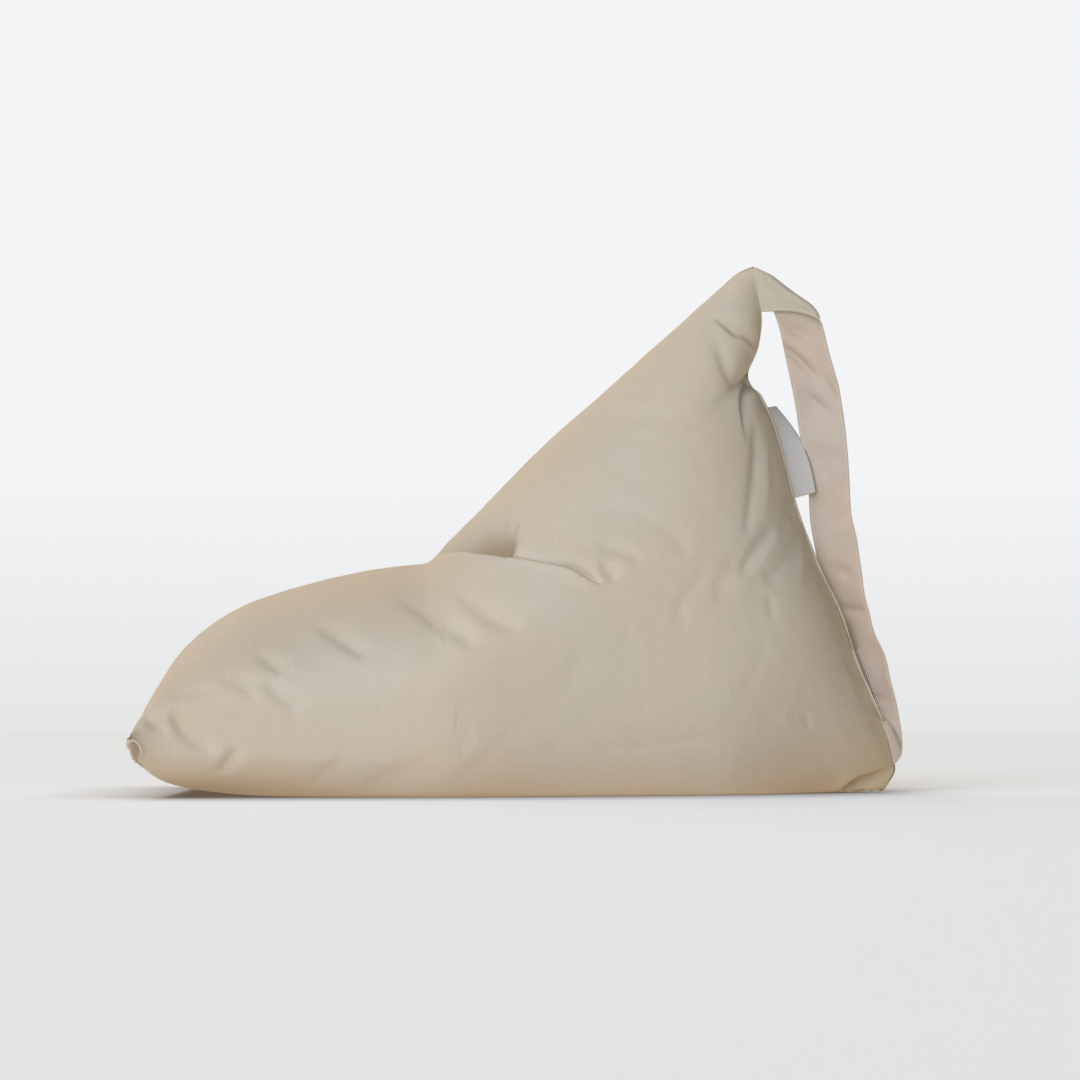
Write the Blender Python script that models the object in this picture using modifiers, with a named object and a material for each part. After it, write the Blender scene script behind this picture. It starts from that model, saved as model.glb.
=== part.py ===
"""Tetrahedral bean bag with a carry strap, lying on the floor.

The cover is one cloth tube. Its toe end is sewn shut along a level seam and its back end along an
upright seam, so the filled bag has a long low nose, a seat hollow and a tall peak. A folded cloth
strap runs from the peak to the foot of the back seam, and a bare tag is caught in that seam.

Units are metres and +Z is up. The origin is on the floor under the middle of the whole object, and
the toe points along -X. In the tables x is measured from the toe's corners and z from the floor.
"""

import math

import bmesh
import bpy
import numpy as np

# Driving dimensions
OVERALL_LENGTH = 1.0211
TOE_CORNER_REACH = 0.034
STRAP_THICKNESS = 0.0028
STRAP_FOLD_RADIUS = 0.004
STRAP_FOLD_BOW = 0.005
STRAP_END_REACH = 0.060
BAND_TOP_WIDTH = 0.007
BAND_FOOT_WIDTH = 0.012
BAND_THICKNESS = 0.0022
BAND_FOOT = 0.146
BAND_HEAD = 0.805
TAG_THICKNESS = 0.0012
PIECE_GAP = 0.0006
SEWN_END_GAP = 0.0016
FLOOR_EASE = 0.006
BELLY_SQUARENESS = 0.52

# Shares of the cover's length over which its forms fade: the toe's corners reaching forward, the
# square belly before the back seam, the seam's own line, and the folds before each seam.
CORNER_FADE = 0.30
BELLY_FADE = 0.20
SEAM_LINE_FADE = 0.28
FOLD_FADE = 0.03

# Fineness of the meshes
COVER_RINGS = 58
RING_POINTS = 80
STRAP_STEPS = 34
STRAP_FOLD_STEPS = 8
STRAP_CROSS_POINTS = 7
TAG_ROWS = 8
TAG_CROSS_POINTS = 4

# One row for each section of the cover, from the toe seam (share 0) to the back seam (share 1).
# crown and base are the section's top and bottom points on the middle plane, before the floor
# flattens it. toe_edge and back_edge sharpen a section's sides or its ends: 1 is round, 2 is sharp.
SECTION_COLUMNS = ("share", "crown_x", "crown_z", "base_x", "base_z", "half_width", "toe_edge", "back_edge")
SECTIONS = (
    (0.00, 0.034, 0.074, 0.034, 0.072, 0.368, 1.80, 1.00),
    (0.05, 0.030, 0.132, 0.035, 0.022, 0.350, 1.28, 1.00),
    (0.10, 0.042, 0.182, 0.060, 0.009, 0.332, 1.12, 1.00),
    (0.15, 0.074, 0.220, 0.108, 0.001, 0.319, 1.04, 1.00),
    (0.20, 0.126, 0.253, 0.172, -0.010, 0.309, 1.00, 1.00),
    (0.27, 0.196, 0.278, 0.250, -0.022, 0.300, 1.00, 1.00),
    (0.34, 0.266, 0.296, 0.320, -0.030, 0.295, 1.00, 1.00),
    (0.40, 0.332, 0.307, 0.380, -0.036, 0.291, 1.00, 1.00),
    (0.44, 0.374, 0.312, 0.420, -0.036, 0.288, 1.00, 1.00),
    (0.48, 0.404, 0.342, 0.460, -0.036, 0.281, 1.00, 1.00),
    (0.56, 0.465, 0.405, 0.540, -0.034, 0.262, 1.00, 1.00),
    (0.66, 0.544, 0.483, 0.640, -0.032, 0.236, 1.00, 1.00),
    (0.76, 0.623, 0.551, 0.740, -0.028, 0.206, 1.00, 1.02),
    (0.86, 0.703, 0.622, 0.835, -0.020, 0.168, 1.00, 1.12),
    (0.94, 0.769, 0.682, 0.925, -0.002, 0.110, 1.00, 1.35),
    (0.98, 0.802, 0.706, 0.966, -0.001, 0.054, 1.00, 1.62),
    (1.00, 0.819, 0.714, 0.984, 0.000, 0.001, 1.00, 1.80),
)

# The back seam: how far behind the straight line from its foot to the peak it runs.
SEAM_COLUMNS = ("height_share", "behind")
SEAM_LINE = (
    (0.000, 0.009),
    (0.050, 0.034),
    (0.100, 0.034),
    (0.140, 0.030),
    (0.180, 0.024),
    (0.250, 0.014),
    (0.330, 0.009),
    (0.440, -0.009),
    (0.557, -0.020),
    (0.670, -0.022),
    (0.752, -0.033),
    (0.785, -0.049),
    (0.800, -0.041),
    (0.850, -0.018),
    (0.914, -0.004),
    (1.000, 0.000),
)

# Main folds of the cover, as lines seen from the side. side is -1 for the near side and 1 for the far
# one, and bow lifts a line's middle. On its left, going from start to end, the cloth sinks by depth
# and on its right it rises by lip, across a step as wide as edge. A negative lip makes a soft trough.
FOLD_COLUMNS = ("side", "start_x", "start_z", "end_x", "end_z", "bow", "depth", "lip", "spread", "edge")
FOLDS = (
    (-1, 0.362, 0.306, 0.622, 0.270, 0.017, 0.013, 0.007, 0.030, 0.026),
    (-1, 0.388, 0.334, 0.505, 0.332, 0.000, 0.010, -0.010, 0.020, 0.020),
    (1, 0.362, 0.306, 0.606, 0.256, 0.012, 0.014, 0.007, 0.030, 0.026),
    (-1, 0.356, 0.259, 0.437, 0.204, 0.004, 0.005, -0.005, 0.013, 0.010),
    (-1, 0.395, 0.286, 0.493, 0.217, 0.003, 0.005, -0.005, 0.012, 0.010),
    (-1, 0.240, 0.222, 0.300, 0.183, 0.002, 0.004, -0.004, 0.013, 0.010),
    (-1, 0.045, 0.110, 0.098, 0.060, 0.000, 0.006, -0.006, 0.012, 0.010),
    (1, 0.330, 0.262, 0.430, 0.190, 0.003, 0.005, -0.005, 0.014, 0.010),
    (1, 0.070, 0.150, 0.140, 0.090, 0.002, 0.005, -0.005, 0.013, 0.010),
    (-1, 0.818, 0.601, 0.762, 0.634, 0.000, 0.006, 0.003, 0.014, 0.012),
    (-1, 0.806, 0.568, 0.792, 0.510, 0.002, 0.010, 0.003, 0.016, 0.014),
    (1, 0.806, 0.568, 0.798, 0.500, 0.002, 0.010, 0.003, 0.016, 0.014),
    (-1, 0.812, 0.520, 0.818, 0.408, 0.000, 0.006, -0.006, 0.008, 0.010),
    (-1, 0.970, 0.034, 0.915, -0.006, 0.000, 0.010, 0.003, 0.016, 0.014),
)

# The strap leaves the seam at the peak as a short flap, turns back over a diagonal fold and comes
# down behind the flap. Its end is sewn into the seam's foot. Each sewn end spans a stretch of the
# seam, given by two shares of its height. The flap's fold runs between the two points, in x and z.
# In the table y is how far behind the middle plane an edge runs.
STRAP_HEAD_SPAN = (0.996, 0.914)
STRAP_FOOT_SPAN = (0.135, 0.052)
STRAP_FOLD_TOP = (0.8225, 0.7110)
STRAP_FOLD_LOW = (0.9095, 0.6445)
EDGE_COLUMNS = ("left_x", "left_z", "right_x", "right_z", "left_y", "right_y")
STRAP_EDGES = (
    (0.8534, 0.6346, 0.9112, 0.6410, 0.008, 0.008),
    (0.8629, 0.5917, 0.9222, 0.5986, 0.012, 0.006),
    (0.8752, 0.5333, 0.9362, 0.5441, 0.014, 0.004),
    (0.8833, 0.4789, 0.9448, 0.4857, 0.012, 0.006),
    (0.8928, 0.4353, 0.9486, 0.4408, 0.012, 0.008),
    (0.8956, 0.3769, 0.9513, 0.3837, 0.016, 0.006),
    (0.9024, 0.3361, 0.9595, 0.3429, 0.018, 0.006),
    (0.9112, 0.2953, 0.9649, 0.3021, 0.027, 0.006),
    (0.9204, 0.2545, 0.9717, 0.2613, 0.037, 0.006),
    (0.9340, 0.2069, 0.9826, 0.2177, 0.043, 0.006),
    (0.9513, 0.1593, 1.0003, 0.1688, 0.042, 0.006),
    (0.9663, 0.1253, 1.0112, 0.1280, 0.036, 0.008),
    (0.9805, 0.1060, 1.0180, 0.0926, 0.024, 0.012),
    (0.9935, 0.1010, 1.0210, 0.0681, 0.012, 0.011),
    (0.9990, 0.0985, 1.0185, 0.0500, 0.004, 0.004),
)

# The tag is sewn behind the band by its long side, between two shares of the seam's height. Its free
# corners are given by x, y behind the middle plane, and z.
TAG_SPAN = (0.731, 0.558)
TAG_TUCK = 0.004
TAG_FREE_TOP = (0.8507, 0.0220, 0.5265)
TAG_FREE_LOW = (0.9040, 0.0040, 0.4081)


def column(table, names, name):
    """One column of a table, as an array."""
    return np.array([row[names.index(name)] for row in table], float)


def smooth_curve(knots, values, at):
    """Values on a smooth curve through the knots that never overshoots them."""
    gaps = np.diff(knots)
    rises = np.diff(values) / gaps
    same_way = rises[:-1] * rises[1:] > 0
    before = np.where(same_way, rises[:-1], 1.0)
    after = np.where(same_way, rises[1:], 1.0)
    weight_before = gaps[:-1] + 2 * gaps[1:]
    weight_after = 2 * gaps[:-1] + gaps[1:]
    mean = (weight_before + weight_after) / (weight_before / before + weight_after / after)
    slopes = np.concatenate([rises[:1], np.where(same_way, mean, 0.0), rises[-1:]])
    cell = np.clip(np.searchsorted(knots, at, side="right") - 1, 0, len(gaps) - 1)
    t = (at - knots[cell]) / gaps[cell]
    return (
        values[cell] * (2 * t**3 - 3 * t**2 + 1)
        + values[cell + 1] * (3 * t**2 - 2 * t**3)
        + slopes[cell] * gaps[cell] * (t**3 - 2 * t**2 + t)
        + slopes[cell + 1] * gaps[cell] * (t**3 - t**2)
    )


def ease(t):
    """0 up to t 0, 1 from t 1, and smooth between."""
    t = np.clip(t, 0.0, 1.0)
    return t * t * (3 - 2 * t)


def section_value(name, shares):
    """One of the sections' values at any share of the cover's length."""
    knots = column(SECTIONS, SECTION_COLUMNS, "share")
    return smooth_curve(knots, column(SECTIONS, SECTION_COLUMNS, name), shares)


def seam_behind(height_share):
    """How far behind its chord the back seam runs at a share of its height."""
    heights = column(SEAM_LINE, SEAM_COLUMNS, "height_share")
    return smooth_curve(heights, column(SEAM_LINE, SEAM_COLUMNS, "behind"), height_share)


def ring_angles(shares, count):
    """Angles round each section, from its crown down the near side and up the far one. Towards the
    back seam they move apart, so that their heights are even along the seam."""
    step = np.arange(count // 2) / (count // 2)
    even = math.pi * step
    level = np.arccos(1 - 2 * step)
    mix = 0.85 * ease((shares - 0.6) / 0.4)[:, None]
    half = (1 - mix) * even + mix * level
    return np.concatenate([half, half + math.pi], axis=1)


def on_floor(z):
    """Heights with the cloth that would sink below the floor laid flat on it."""
    eased = (z + FLOOR_EASE) ** 2 / (4 * FLOOR_EASE)
    return np.where(z < -FLOOR_EASE, 0.0, np.where(z > FLOOR_EASE, z, eased))


def cover_surface(shares, angles):
    """Points of the cover before its folds, for each section share and each angle round it."""
    share = np.broadcast_to(shares[:, None], angles.shape)
    up = np.cos(angles)
    across = np.sin(angles)
    belly = 1 - (1 - BELLY_SQUARENESS) * ease(-up / 0.3) * ease((1 - share) / BELLY_FADE)
    height = np.sign(up) * np.abs(up) ** (belly * section_value("toe_edge", share))
    level = 0.5 + 0.5 * height
    spread = np.abs(across) ** (belly * section_value("back_edge", share))
    y = -section_value("half_width", share) * np.sign(across) * spread
    x = section_value("base_x", share) * (1 - level) + section_value("crown_x", share) * level
    z = section_value("base_z", share) * (1 - level) + section_value("crown_z", share) * level
    near_seam = np.clip(1 - (1 - share) / SEAM_LINE_FADE, 0, 1) ** 3
    x = x + near_seam * seam_behind(level)
    x = x - TOE_CORNER_REACH * np.abs(across) ** 3 * (1 - ease(share / CORNER_FADE))
    return np.stack([x, y, on_floor(z)], axis=-1)


def grid_normals(points):
    """Outward normals of the cover's grid of rings."""
    along = np.gradient(points, axis=0)
    around = (np.roll(points, -1, axis=1) - np.roll(points, 1, axis=1)) / 2
    normal = np.cross(around, along)
    return normal / np.maximum(np.linalg.norm(normal, axis=-1, keepdims=True), 1e-9)


def fold_offset(points, fold):
    """How far a fold moves each point out along its normal."""
    row = dict(zip(FOLD_COLUMNS, fold))
    start = np.array([row["start_x"], row["start_z"]])
    run = np.array([row["end_x"], row["end_z"]]) - start
    length = np.linalg.norm(run)
    along = run / length
    left = np.array([-along[1], along[0]])
    place = points[..., [0, 2]] - start
    t = place @ along / length
    over = place @ left - row["bow"] * np.sin(math.pi * np.clip(t, 0, 1))
    fade = ease(t / 0.25) * ease((1 - t) / 0.25) * ease(points[..., 1] * row["side"] / 0.03)
    sunk = ease(over / row["edge"] + 0.5)
    near_line = np.exp(-((over / row["spread"]) ** 2))
    return fade * near_line * (row["lip"] * (1 - sunk) - row["depth"] * sunk)


def folded_cover(shares, angles):
    """Points of the cover with its folds, which fade out at the floor and at both seams."""
    points = cover_surface(shares, angles)
    moved = sum(fold_offset(points, fold) for fold in FOLDS)
    to_seam = np.minimum(shares, 1 - shares)[:, None]
    moved *= ease(points[..., 2] / (2 * FLOOR_EASE)) * ease(to_seam / FOLD_FADE)
    points = points + grid_normals(points) * moved[..., None]
    points[..., 2] = np.maximum(points[..., 2], 0.0)
    return points


def beside_seam(height_shares, reaches, behind=0.0):
    """Points outside the back seam: at shares of its height, and so far out from it."""
    foot = np.array([section_value(name, np.array([1.0]))[0] for name in ("base_x", "base_z")])
    peak = np.array([section_value(name, np.array([1.0]))[0] for name in ("crown_x", "crown_z")])
    heights = np.asarray(height_shares, float)
    line = foot + np.multiply.outer(heights, peak - foot)
    line[:, 0] += seam_behind(heights)
    run = np.gradient(line, axis=0)
    run /= np.linalg.norm(run, axis=1, keepdims=True)
    run *= np.sign(run[:, 1:])
    place = line + np.stack([run[:, 1], -run[:, 0]], axis=1) * np.reshape(reaches, (-1, 1))
    return np.stack([place[:, 0], np.full(len(place), behind), place[:, 1]], axis=1)


def material(name, color, roughness):
    """A plain cloth material."""
    made = bpy.data.materials.new(name)
    made.use_nodes = True
    shader = made.node_tree.nodes["Principled BSDF"]
    shader.inputs["Base Color"].default_value = (*color, 1.0)
    shader.inputs["Roughness"].default_value = roughness
    shader.inputs["Metallic"].default_value = 0.0
    return made


def add_object(name, vertices, faces, collection, finish):
    """A named object from points measured from the toe, moved to the part's own frame."""
    mesh = bpy.data.meshes.new(name)
    moved = np.array(vertices, float).reshape(-1, 3) - (OVERALL_LENGTH / 2, 0, 0)
    mesh.from_pydata(moved.tolist(), [], faces)
    mesh.materials.append(finish)
    mesh.shade_smooth()
    made = bpy.data.objects.new(name, mesh)
    collection.objects.link(made)
    return made


def grid_faces(rows, columns):
    """Faces of an open grid of points."""
    return [
        (i * columns + j, i * columns + j + 1, (i + 1) * columns + j + 1, (i + 1) * columns + j)
        for i in range(rows - 1)
        for j in range(columns - 1)
    ]


def thicken(obj, thickness):
    solidify = obj.modifiers.new("cloth thickness", "SOLIDIFY")
    solidify.thickness = thickness
    solidify.offset = 0.0
    solidify.use_even_offset = True


def build_cover(collection, finish):
    """The filled cover: rings from the toe seam to the back seam, closer together near both."""
    step = np.linspace(0, 1, COVER_RINGS)
    shares = step - 0.055 * np.sin(2 * math.pi * step)
    angles = ring_angles(shares, RING_POINTS)
    points = folded_cover(shares, angles)
    count = RING_POINTS
    faces = []
    for i in range(COVER_RINGS - 1):
        for j in range(count):
            k = (j + 1) % count
            faces.append((i * count + j, (i + 1) * count + j, (i + 1) * count + k, i * count + k))
    quarter = count // 4
    half = count // 2
    last = (COVER_RINGS - 1) * count
    for j in range(-quarter, quarter):
        level_seam = [j % count, (j + 1) % count, (half - j - 1) % count, (half - j) % count]
        faces.append(list(dict.fromkeys(level_seam)))
    for j in range(half):
        upright_seam = [last + j + 1, last + j, last + (-j) % count, last + (-j - 1) % count]
        faces.append(list(dict.fromkeys(upright_seam)))
    cover = add_object("cover", points, faces, collection, finish)
    shape = bmesh.new()
    shape.from_mesh(cover.data)
    bmesh.ops.recalc_face_normals(shape, faces=shape.faces)
    bmesh.ops.triangulate(shape, faces=shape.faces)
    shape.to_mesh(cover.data)
    shape.free()
    return cover


def band_width(height_shares):
    """The band's width, narrower towards the peak."""
    return np.interp(height_shares, (BAND_FOOT, BAND_HEAD), (BAND_FOOT_WIDTH, BAND_TOP_WIDTH))


def build_seam_band(collection, finish):
    """The stitched band of doubled cloth that stands out along the back seam."""
    heights = 0.5 + 0.5 * np.cos(ring_angles(np.array([1.0]), RING_POINTS)[0, : RING_POINTS // 2])
    heights = heights[(heights > BAND_FOOT) & (heights < BAND_HEAD)]
    widths = band_width(heights)
    lines = [beside_seam(heights, PIECE_GAP + (widths - PIECE_GAP) * t) for t in (0, 0.5, 1)]
    rows = np.stack(lines, axis=1)
    band = add_object("seam_band", rows, grid_faces(len(heights), len(lines)), collection, finish)
    thicken(band, BAND_THICKNESS)
    return band


def strap_points():
    """The strap's middle surface, a row of points across it at a time, from the peak to the foot."""
    across = np.linspace(0, 1, STRAP_CROSS_POINTS)[:, None]
    head = beside_seam(np.linspace(*STRAP_HEAD_SPAN, STRAP_CROSS_POINTS), SEWN_END_GAP)
    foot = beside_seam(np.linspace(*STRAP_FOOT_SPAN, STRAP_CROSS_POINTS), SEWN_END_GAP)
    fold_top = np.array([STRAP_FOLD_TOP[0], 0.0, STRAP_FOLD_TOP[1]])
    fold_low = np.array([STRAP_FOLD_LOW[0], 0.0, STRAP_FOLD_LOW[1]])
    fold = fold_top * (1 - across) + fold_low * across
    radius = STRAP_FOLD_RADIUS
    rows = []
    for t in np.linspace(0, 1, STRAP_FOLD_STEPS):
        row = head * (1 - t) + fold * t
        row[:, 1] -= radius * ease(t)
        row[:, 2] += STRAP_FOLD_BOW * math.sin(math.pi * t) * across[:, 0]
        rows.append(row)
    run = (fold_low - fold_top) / np.linalg.norm(fold_low - fold_top)
    outward = np.array([-run[2], 0.0, run[0]])
    for turn in np.linspace(0, math.pi, STRAP_FOLD_STEPS)[1:-1]:
        rows.append(fold + outward * radius * math.sin(turn) - (0, radius * math.cos(turn), 0))
    edges = {name: column(STRAP_EDGES, EDGE_COLUMNS, name) for name in EDGE_COLUMNS}
    left = np.stack([edges["left_x"], edges["left_y"], edges["left_z"]], axis=1)
    right = np.stack([edges["right_x"], edges["right_y"], edges["right_z"]], axis=1)
    left = np.vstack([fold_top + (0, radius, 0), left, foot[0]])
    right = np.vstack([fold_low + (0, radius, 0), right, foot[-1]])
    runs = np.concatenate([[0], np.cumsum(np.linalg.norm(np.diff((left + right) / 2, axis=0), axis=1))])
    places = np.linspace(0, runs[-1], STRAP_STEPS)
    left = np.stack([smooth_curve(runs, left[:, k], places) for k in range(3)], axis=1)
    right = np.stack([smooth_curve(runs, right[:, k], places) for k in range(3)], axis=1)
    foot_curve = foot - (foot[0] * (1 - across) + foot[-1] * across)
    for a, b, to_end in zip(left, right, runs[-1] - places):
        rows.append(a * (1 - across) + b * across + foot_curve * ease(1 - to_end / STRAP_END_REACH))
    return rows


def build_strap(collection, finish):
    """The folded cloth strap."""
    rows = strap_points()
    strap = add_object("strap", rows, grid_faces(len(rows), STRAP_CROSS_POINTS), collection, finish)
    thicken(strap, STRAP_THICKNESS)
    return strap


def build_tag(collection, finish):
    """The bare woven tag, sewn behind the band by its long side."""
    heights = np.linspace(*TAG_SPAN, TAG_ROWS)
    behind = BAND_THICKNESS / 2 + PIECE_GAP + TAG_THICKNESS / 2
    sewn = beside_seam(heights, band_width(heights) - TAG_TUCK, behind)
    free = np.linspace(TAG_FREE_TOP, TAG_FREE_LOW, TAG_ROWS)
    across = np.linspace(0, 1, TAG_CROSS_POINTS)[:, None]
    rows = [a * (1 - across) + b * across for a, b in zip(sewn, free)]
    tag = add_object("tag", rows, grid_faces(TAG_ROWS, TAG_CROSS_POINTS), collection, finish)
    thicken(tag, TAG_THICKNESS)
    return tag


def main():
    for obj in list(bpy.data.objects):
        bpy.data.objects.remove(obj)
    collection = bpy.data.collections.new("bean_bag")
    bpy.context.scene.collection.children.link(collection)
    canvas = material("sand_canvas", (0.60, 0.53, 0.43), 0.62)
    build_cover(collection, canvas)
    build_seam_band(collection, canvas)
    build_strap(collection, material("strap_canvas", (0.56, 0.48, 0.41), 0.68))
    build_tag(collection, material("tag_satin", (0.62, 0.62, 0.60), 0.42))


main()
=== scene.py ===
"""Looks of a bean bag lounger with a carry strap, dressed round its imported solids.

The cover is remade as fine cloth on the solid's sections, with its folds, puckers and seams. The strap,
the band along the back seam and the tag are sewn sheets. Stitches follow lines along their edges.

Units are metres and +Z is up, and only the table of folds is in millimetres. In the tables x is measured
from the toe's corners and z from the floor, y is negative on the near side, and a share runs from 0 to 1.
"""

import math

import bmesh
import bpy
import numpy as np
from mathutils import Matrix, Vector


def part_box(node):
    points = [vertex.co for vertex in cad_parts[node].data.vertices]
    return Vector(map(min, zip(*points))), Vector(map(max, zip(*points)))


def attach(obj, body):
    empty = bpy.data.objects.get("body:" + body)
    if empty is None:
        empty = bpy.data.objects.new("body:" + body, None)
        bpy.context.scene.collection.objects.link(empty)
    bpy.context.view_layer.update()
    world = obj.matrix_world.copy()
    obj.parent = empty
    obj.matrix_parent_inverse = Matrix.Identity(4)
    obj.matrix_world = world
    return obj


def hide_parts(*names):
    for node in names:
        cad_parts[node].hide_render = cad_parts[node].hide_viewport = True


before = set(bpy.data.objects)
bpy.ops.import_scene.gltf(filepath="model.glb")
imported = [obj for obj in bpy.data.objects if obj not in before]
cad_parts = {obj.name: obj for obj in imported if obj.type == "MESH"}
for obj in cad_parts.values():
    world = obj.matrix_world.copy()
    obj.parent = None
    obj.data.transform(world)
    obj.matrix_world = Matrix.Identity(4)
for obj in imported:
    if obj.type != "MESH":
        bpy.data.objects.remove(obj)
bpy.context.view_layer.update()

BODY = "root"
MILLIMETRE = 0.001

# Form of the cover, as in the solids
TOE_CORNER_REACH = 0.034
FLOOR_EASE = 0.006
BELLY_SQUARENESS = 0.52
CORNER_FADE = 0.30
BELLY_FADE = 0.20
BELLY_TURN = 0.3
SEAM_LINE_FADE = 0.28

# Fineness of the cover's mesh. Its rings crowd towards both ends, and its points towards the creases.
# Near the toe every quarter of a ring is pinned to a corner.
COVER_RINGS = 258
RING_POINTS = 380
RING_CROWDING = 0.055
SEAM_EVENNESS = 0.85
SEAM_EVEN_FROM = 0.60
CREASE_CROWDING = 2.2
CREASE_CROWD_ANGLE = 0.055
CREASE_CROWD_ENDS = 0.07
UNDERSIDE_THINNING = 0.6
UNDERSIDE_ANGLE = 0.5
PINNED_SHARE = 0.10
PINNED_FADE = 0.15

# How the folds are worn away: near both end seams, at the toe's corners and where the cloth meets the
# floor
FOLD_FADE = 0.012
TOE_FOLD_FADE = 0.004
TOE_CORNER_Y = 0.320
TOE_CORNER_WIDTH = 0.016
TOE_CORNER_SHARE = 0.10
CREASE_FLOOR_FADE = 1.2 * FLOOR_EASE
SOFT_FLOOR_FADE = 1.5 * FLOOR_EASE

# Shape of a fold: how level a crease is pushed, where and how widely its lip leans, from what depth it
# leans fully, and how many spreads from a trough its banks stand
FOLD_LINE_POINTS = 120
CREASE_TURN = 0.4
LIP_PLACE = 0.4
LIP_REACH = 1.3
FULL_LEAN_DEPTH = 0.008
BANK_PLACE = 1.9
# How far the folds must move the cloth for their painted shade to be full
FULL_FOLD_SHADE_DEPTH = 0.046

# Soft unevenness: its height, its shortest and longest wave, and a seed
COVER_WAVES = ((0.0008, 0.16, 0.40, 11), (0.00012, 0.02, 0.05, 12))
STRAP_WAVES = (0.0014, 0.035, 0.10, 31)
BAND_WAVES = (0.0008, 0.03, 0.10, 21)
TOE_PUCKERS = (0.0013, 0.014, 0.045, 13)
BACK_PUCKERS = (0.0016, 0.018, 0.06, 14)
CLOTH_WAVE_COUNT = 36
SEAM_WAVE_COUNT = 14

# How far the puckers reach from their seams, and where along them they end
TOE_PUCKER_REACH = 0.022
TOE_PUCKER_END = (0.33, 0.06)
BACK_PUCKER_REACH = 0.030
BACK_PUCKER_END = (0.70, 0.05)
BACK_PUCKER_SIDES = 0.4

# The strap. Its roll is tighter at both ends of the fold than between them.
STRAP_THICKNESS = 0.0028
STRAP_RIM = 0.0016
STRAP_GROOVE = 0.00035
STRAP_STITCH_INSET = 0.0034
STRAP_ROWS = 190
STRAP_CROSS = 31
STRAP_FOLD_ROWS = 24
STRAP_FOLD_RADIUS = 0.006
STRAP_FOLD_TOP_SHARE = 0.15
STRAP_FOLD_LOW_SHARE = 0.5
STRAP_FOLD_END_REACH = 0.25
STRAP_FOLD_BOW = 0.006
STRAP_FOLD_BOW_PLACE = 1.3
STRAP_FOLD_SWELL = 0.0036
STRAP_FOLD_SWELL_PLACE = 4.3
STRAP_END_REACH = 0.060
STRAP_FLAT_START = 0.03
STRAP_FLAT_END = 0.05
STRAP_SMOOTH_RUN = 0.11
STRAP_SMOOTH_FADE = 0.05
STRAP_EDGE_CROWDING = 0.25
SEWN_END_TUCK = 0.0015

# The band along the back seam
BAND_TOP_WIDTH = 0.0028
BAND_FOOT_WIDTH = 0.0030
BAND_TUCK = 0.0074
BAND_TAPER = 0.030
BAND_THICKNESS = 0.0022
BAND_TUCKED_SHARE = 0.6
BAND_RIM = 0.0011
BAND_GROOVE = 0.0002
BAND_GROOVE_INSET = 0.0016
BAND_STITCH_SHARE = 0.84
BAND_LENGTH = 0.72
BAND_FOOT = 0.122
BAND_HEAD = 0.781
BAND_ROWS = 300
BAND_CROSS = 9

# The tag and the gap between pieces
TAG_THICKNESS = 0.0012
TAG_RIM = 0.0006
TAG_ROWS = 60
TAG_CROSS = 19
PIECE_GAP = 0.0002

# Sewing thread: the pitch, length and width of the stitches, how they lie and how fine each is
STITCH_SIZES = {
    "band_stitches": (0.0040, 0.0030, 0.0006),
    "strap_stitches": (0.0042, 0.0034, 0.0007),
    "seam_end_thread": (0.0016, 0.0030, 0.0013),
}
STITCH_LIFT = 0.0001
STITCH_END_ROWS = 2
STITCH_SEGMENTS = 6
STITCH_RINGS = 4
GROOVE_WIDTH = 0.0012

# One row for each section of the cover, from the toe seam (share 0) to the back seam (share 1)
SECTION_COLUMNS = ("share", "crown_x", "crown_z", "base_x", "base_z", "half_width", "toe_edge", "back_edge")
SECTIONS = (
    (0.00, 0.034, 0.074, 0.034, 0.072, 0.368, 1.80, 1.00),
    (0.05, 0.030, 0.132, 0.035, 0.022, 0.350, 1.28, 1.00),
    (0.10, 0.042, 0.182, 0.060, 0.009, 0.332, 1.12, 1.00),
    (0.15, 0.074, 0.220, 0.108, 0.001, 0.319, 1.04, 1.00),
    (0.20, 0.126, 0.253, 0.172, -0.010, 0.309, 1.00, 1.00),
    (0.27, 0.196, 0.278, 0.250, -0.022, 0.300, 1.00, 1.00),
    (0.34, 0.266, 0.296, 0.320, -0.030, 0.295, 1.00, 1.00),
    (0.40, 0.332, 0.307, 0.380, -0.036, 0.291, 1.00, 1.00),
    (0.44, 0.370, 0.311, 0.420, -0.036, 0.288, 1.00, 1.00),
    (0.48, 0.403, 0.343, 0.460, -0.036, 0.281, 1.00, 1.00),
    (0.56, 0.465, 0.405, 0.540, -0.034, 0.262, 1.00, 1.00),
    (0.66, 0.544, 0.483, 0.640, -0.032, 0.236, 1.00, 1.00),
    (0.76, 0.623, 0.551, 0.740, -0.028, 0.206, 1.00, 1.02),
    (0.86, 0.703, 0.622, 0.835, -0.020, 0.168, 1.00, 1.12),
    (0.94, 0.769, 0.682, 0.925, -0.002, 0.110, 1.00, 1.35),
    (0.98, 0.802, 0.709, 0.966, -0.001, 0.054, 1.00, 1.62),
    (1.00, 0.819, 0.716, 0.984, 0.000, 0.001, 1.00, 1.80),
)

# The back seam: how far behind the straight line from its foot to the peak it runs
SEAM_COLUMNS = ("height_share", "behind")
SEAM_LINE = (
    (0.000, 0.009),
    (0.050, 0.034),
    (0.100, 0.034),
    (0.140, 0.030),
    (0.180, 0.024),
    (0.250, 0.014),
    (0.330, 0.009),
    (0.440, -0.009),
    (0.557, -0.020),
    (0.670, -0.022),
    (0.752, -0.033),
    (0.785, -0.049),
    (0.800, -0.041),
    (0.850, -0.018),
    (0.914, -0.004),
    (1.000, 0.000),
)

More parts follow.
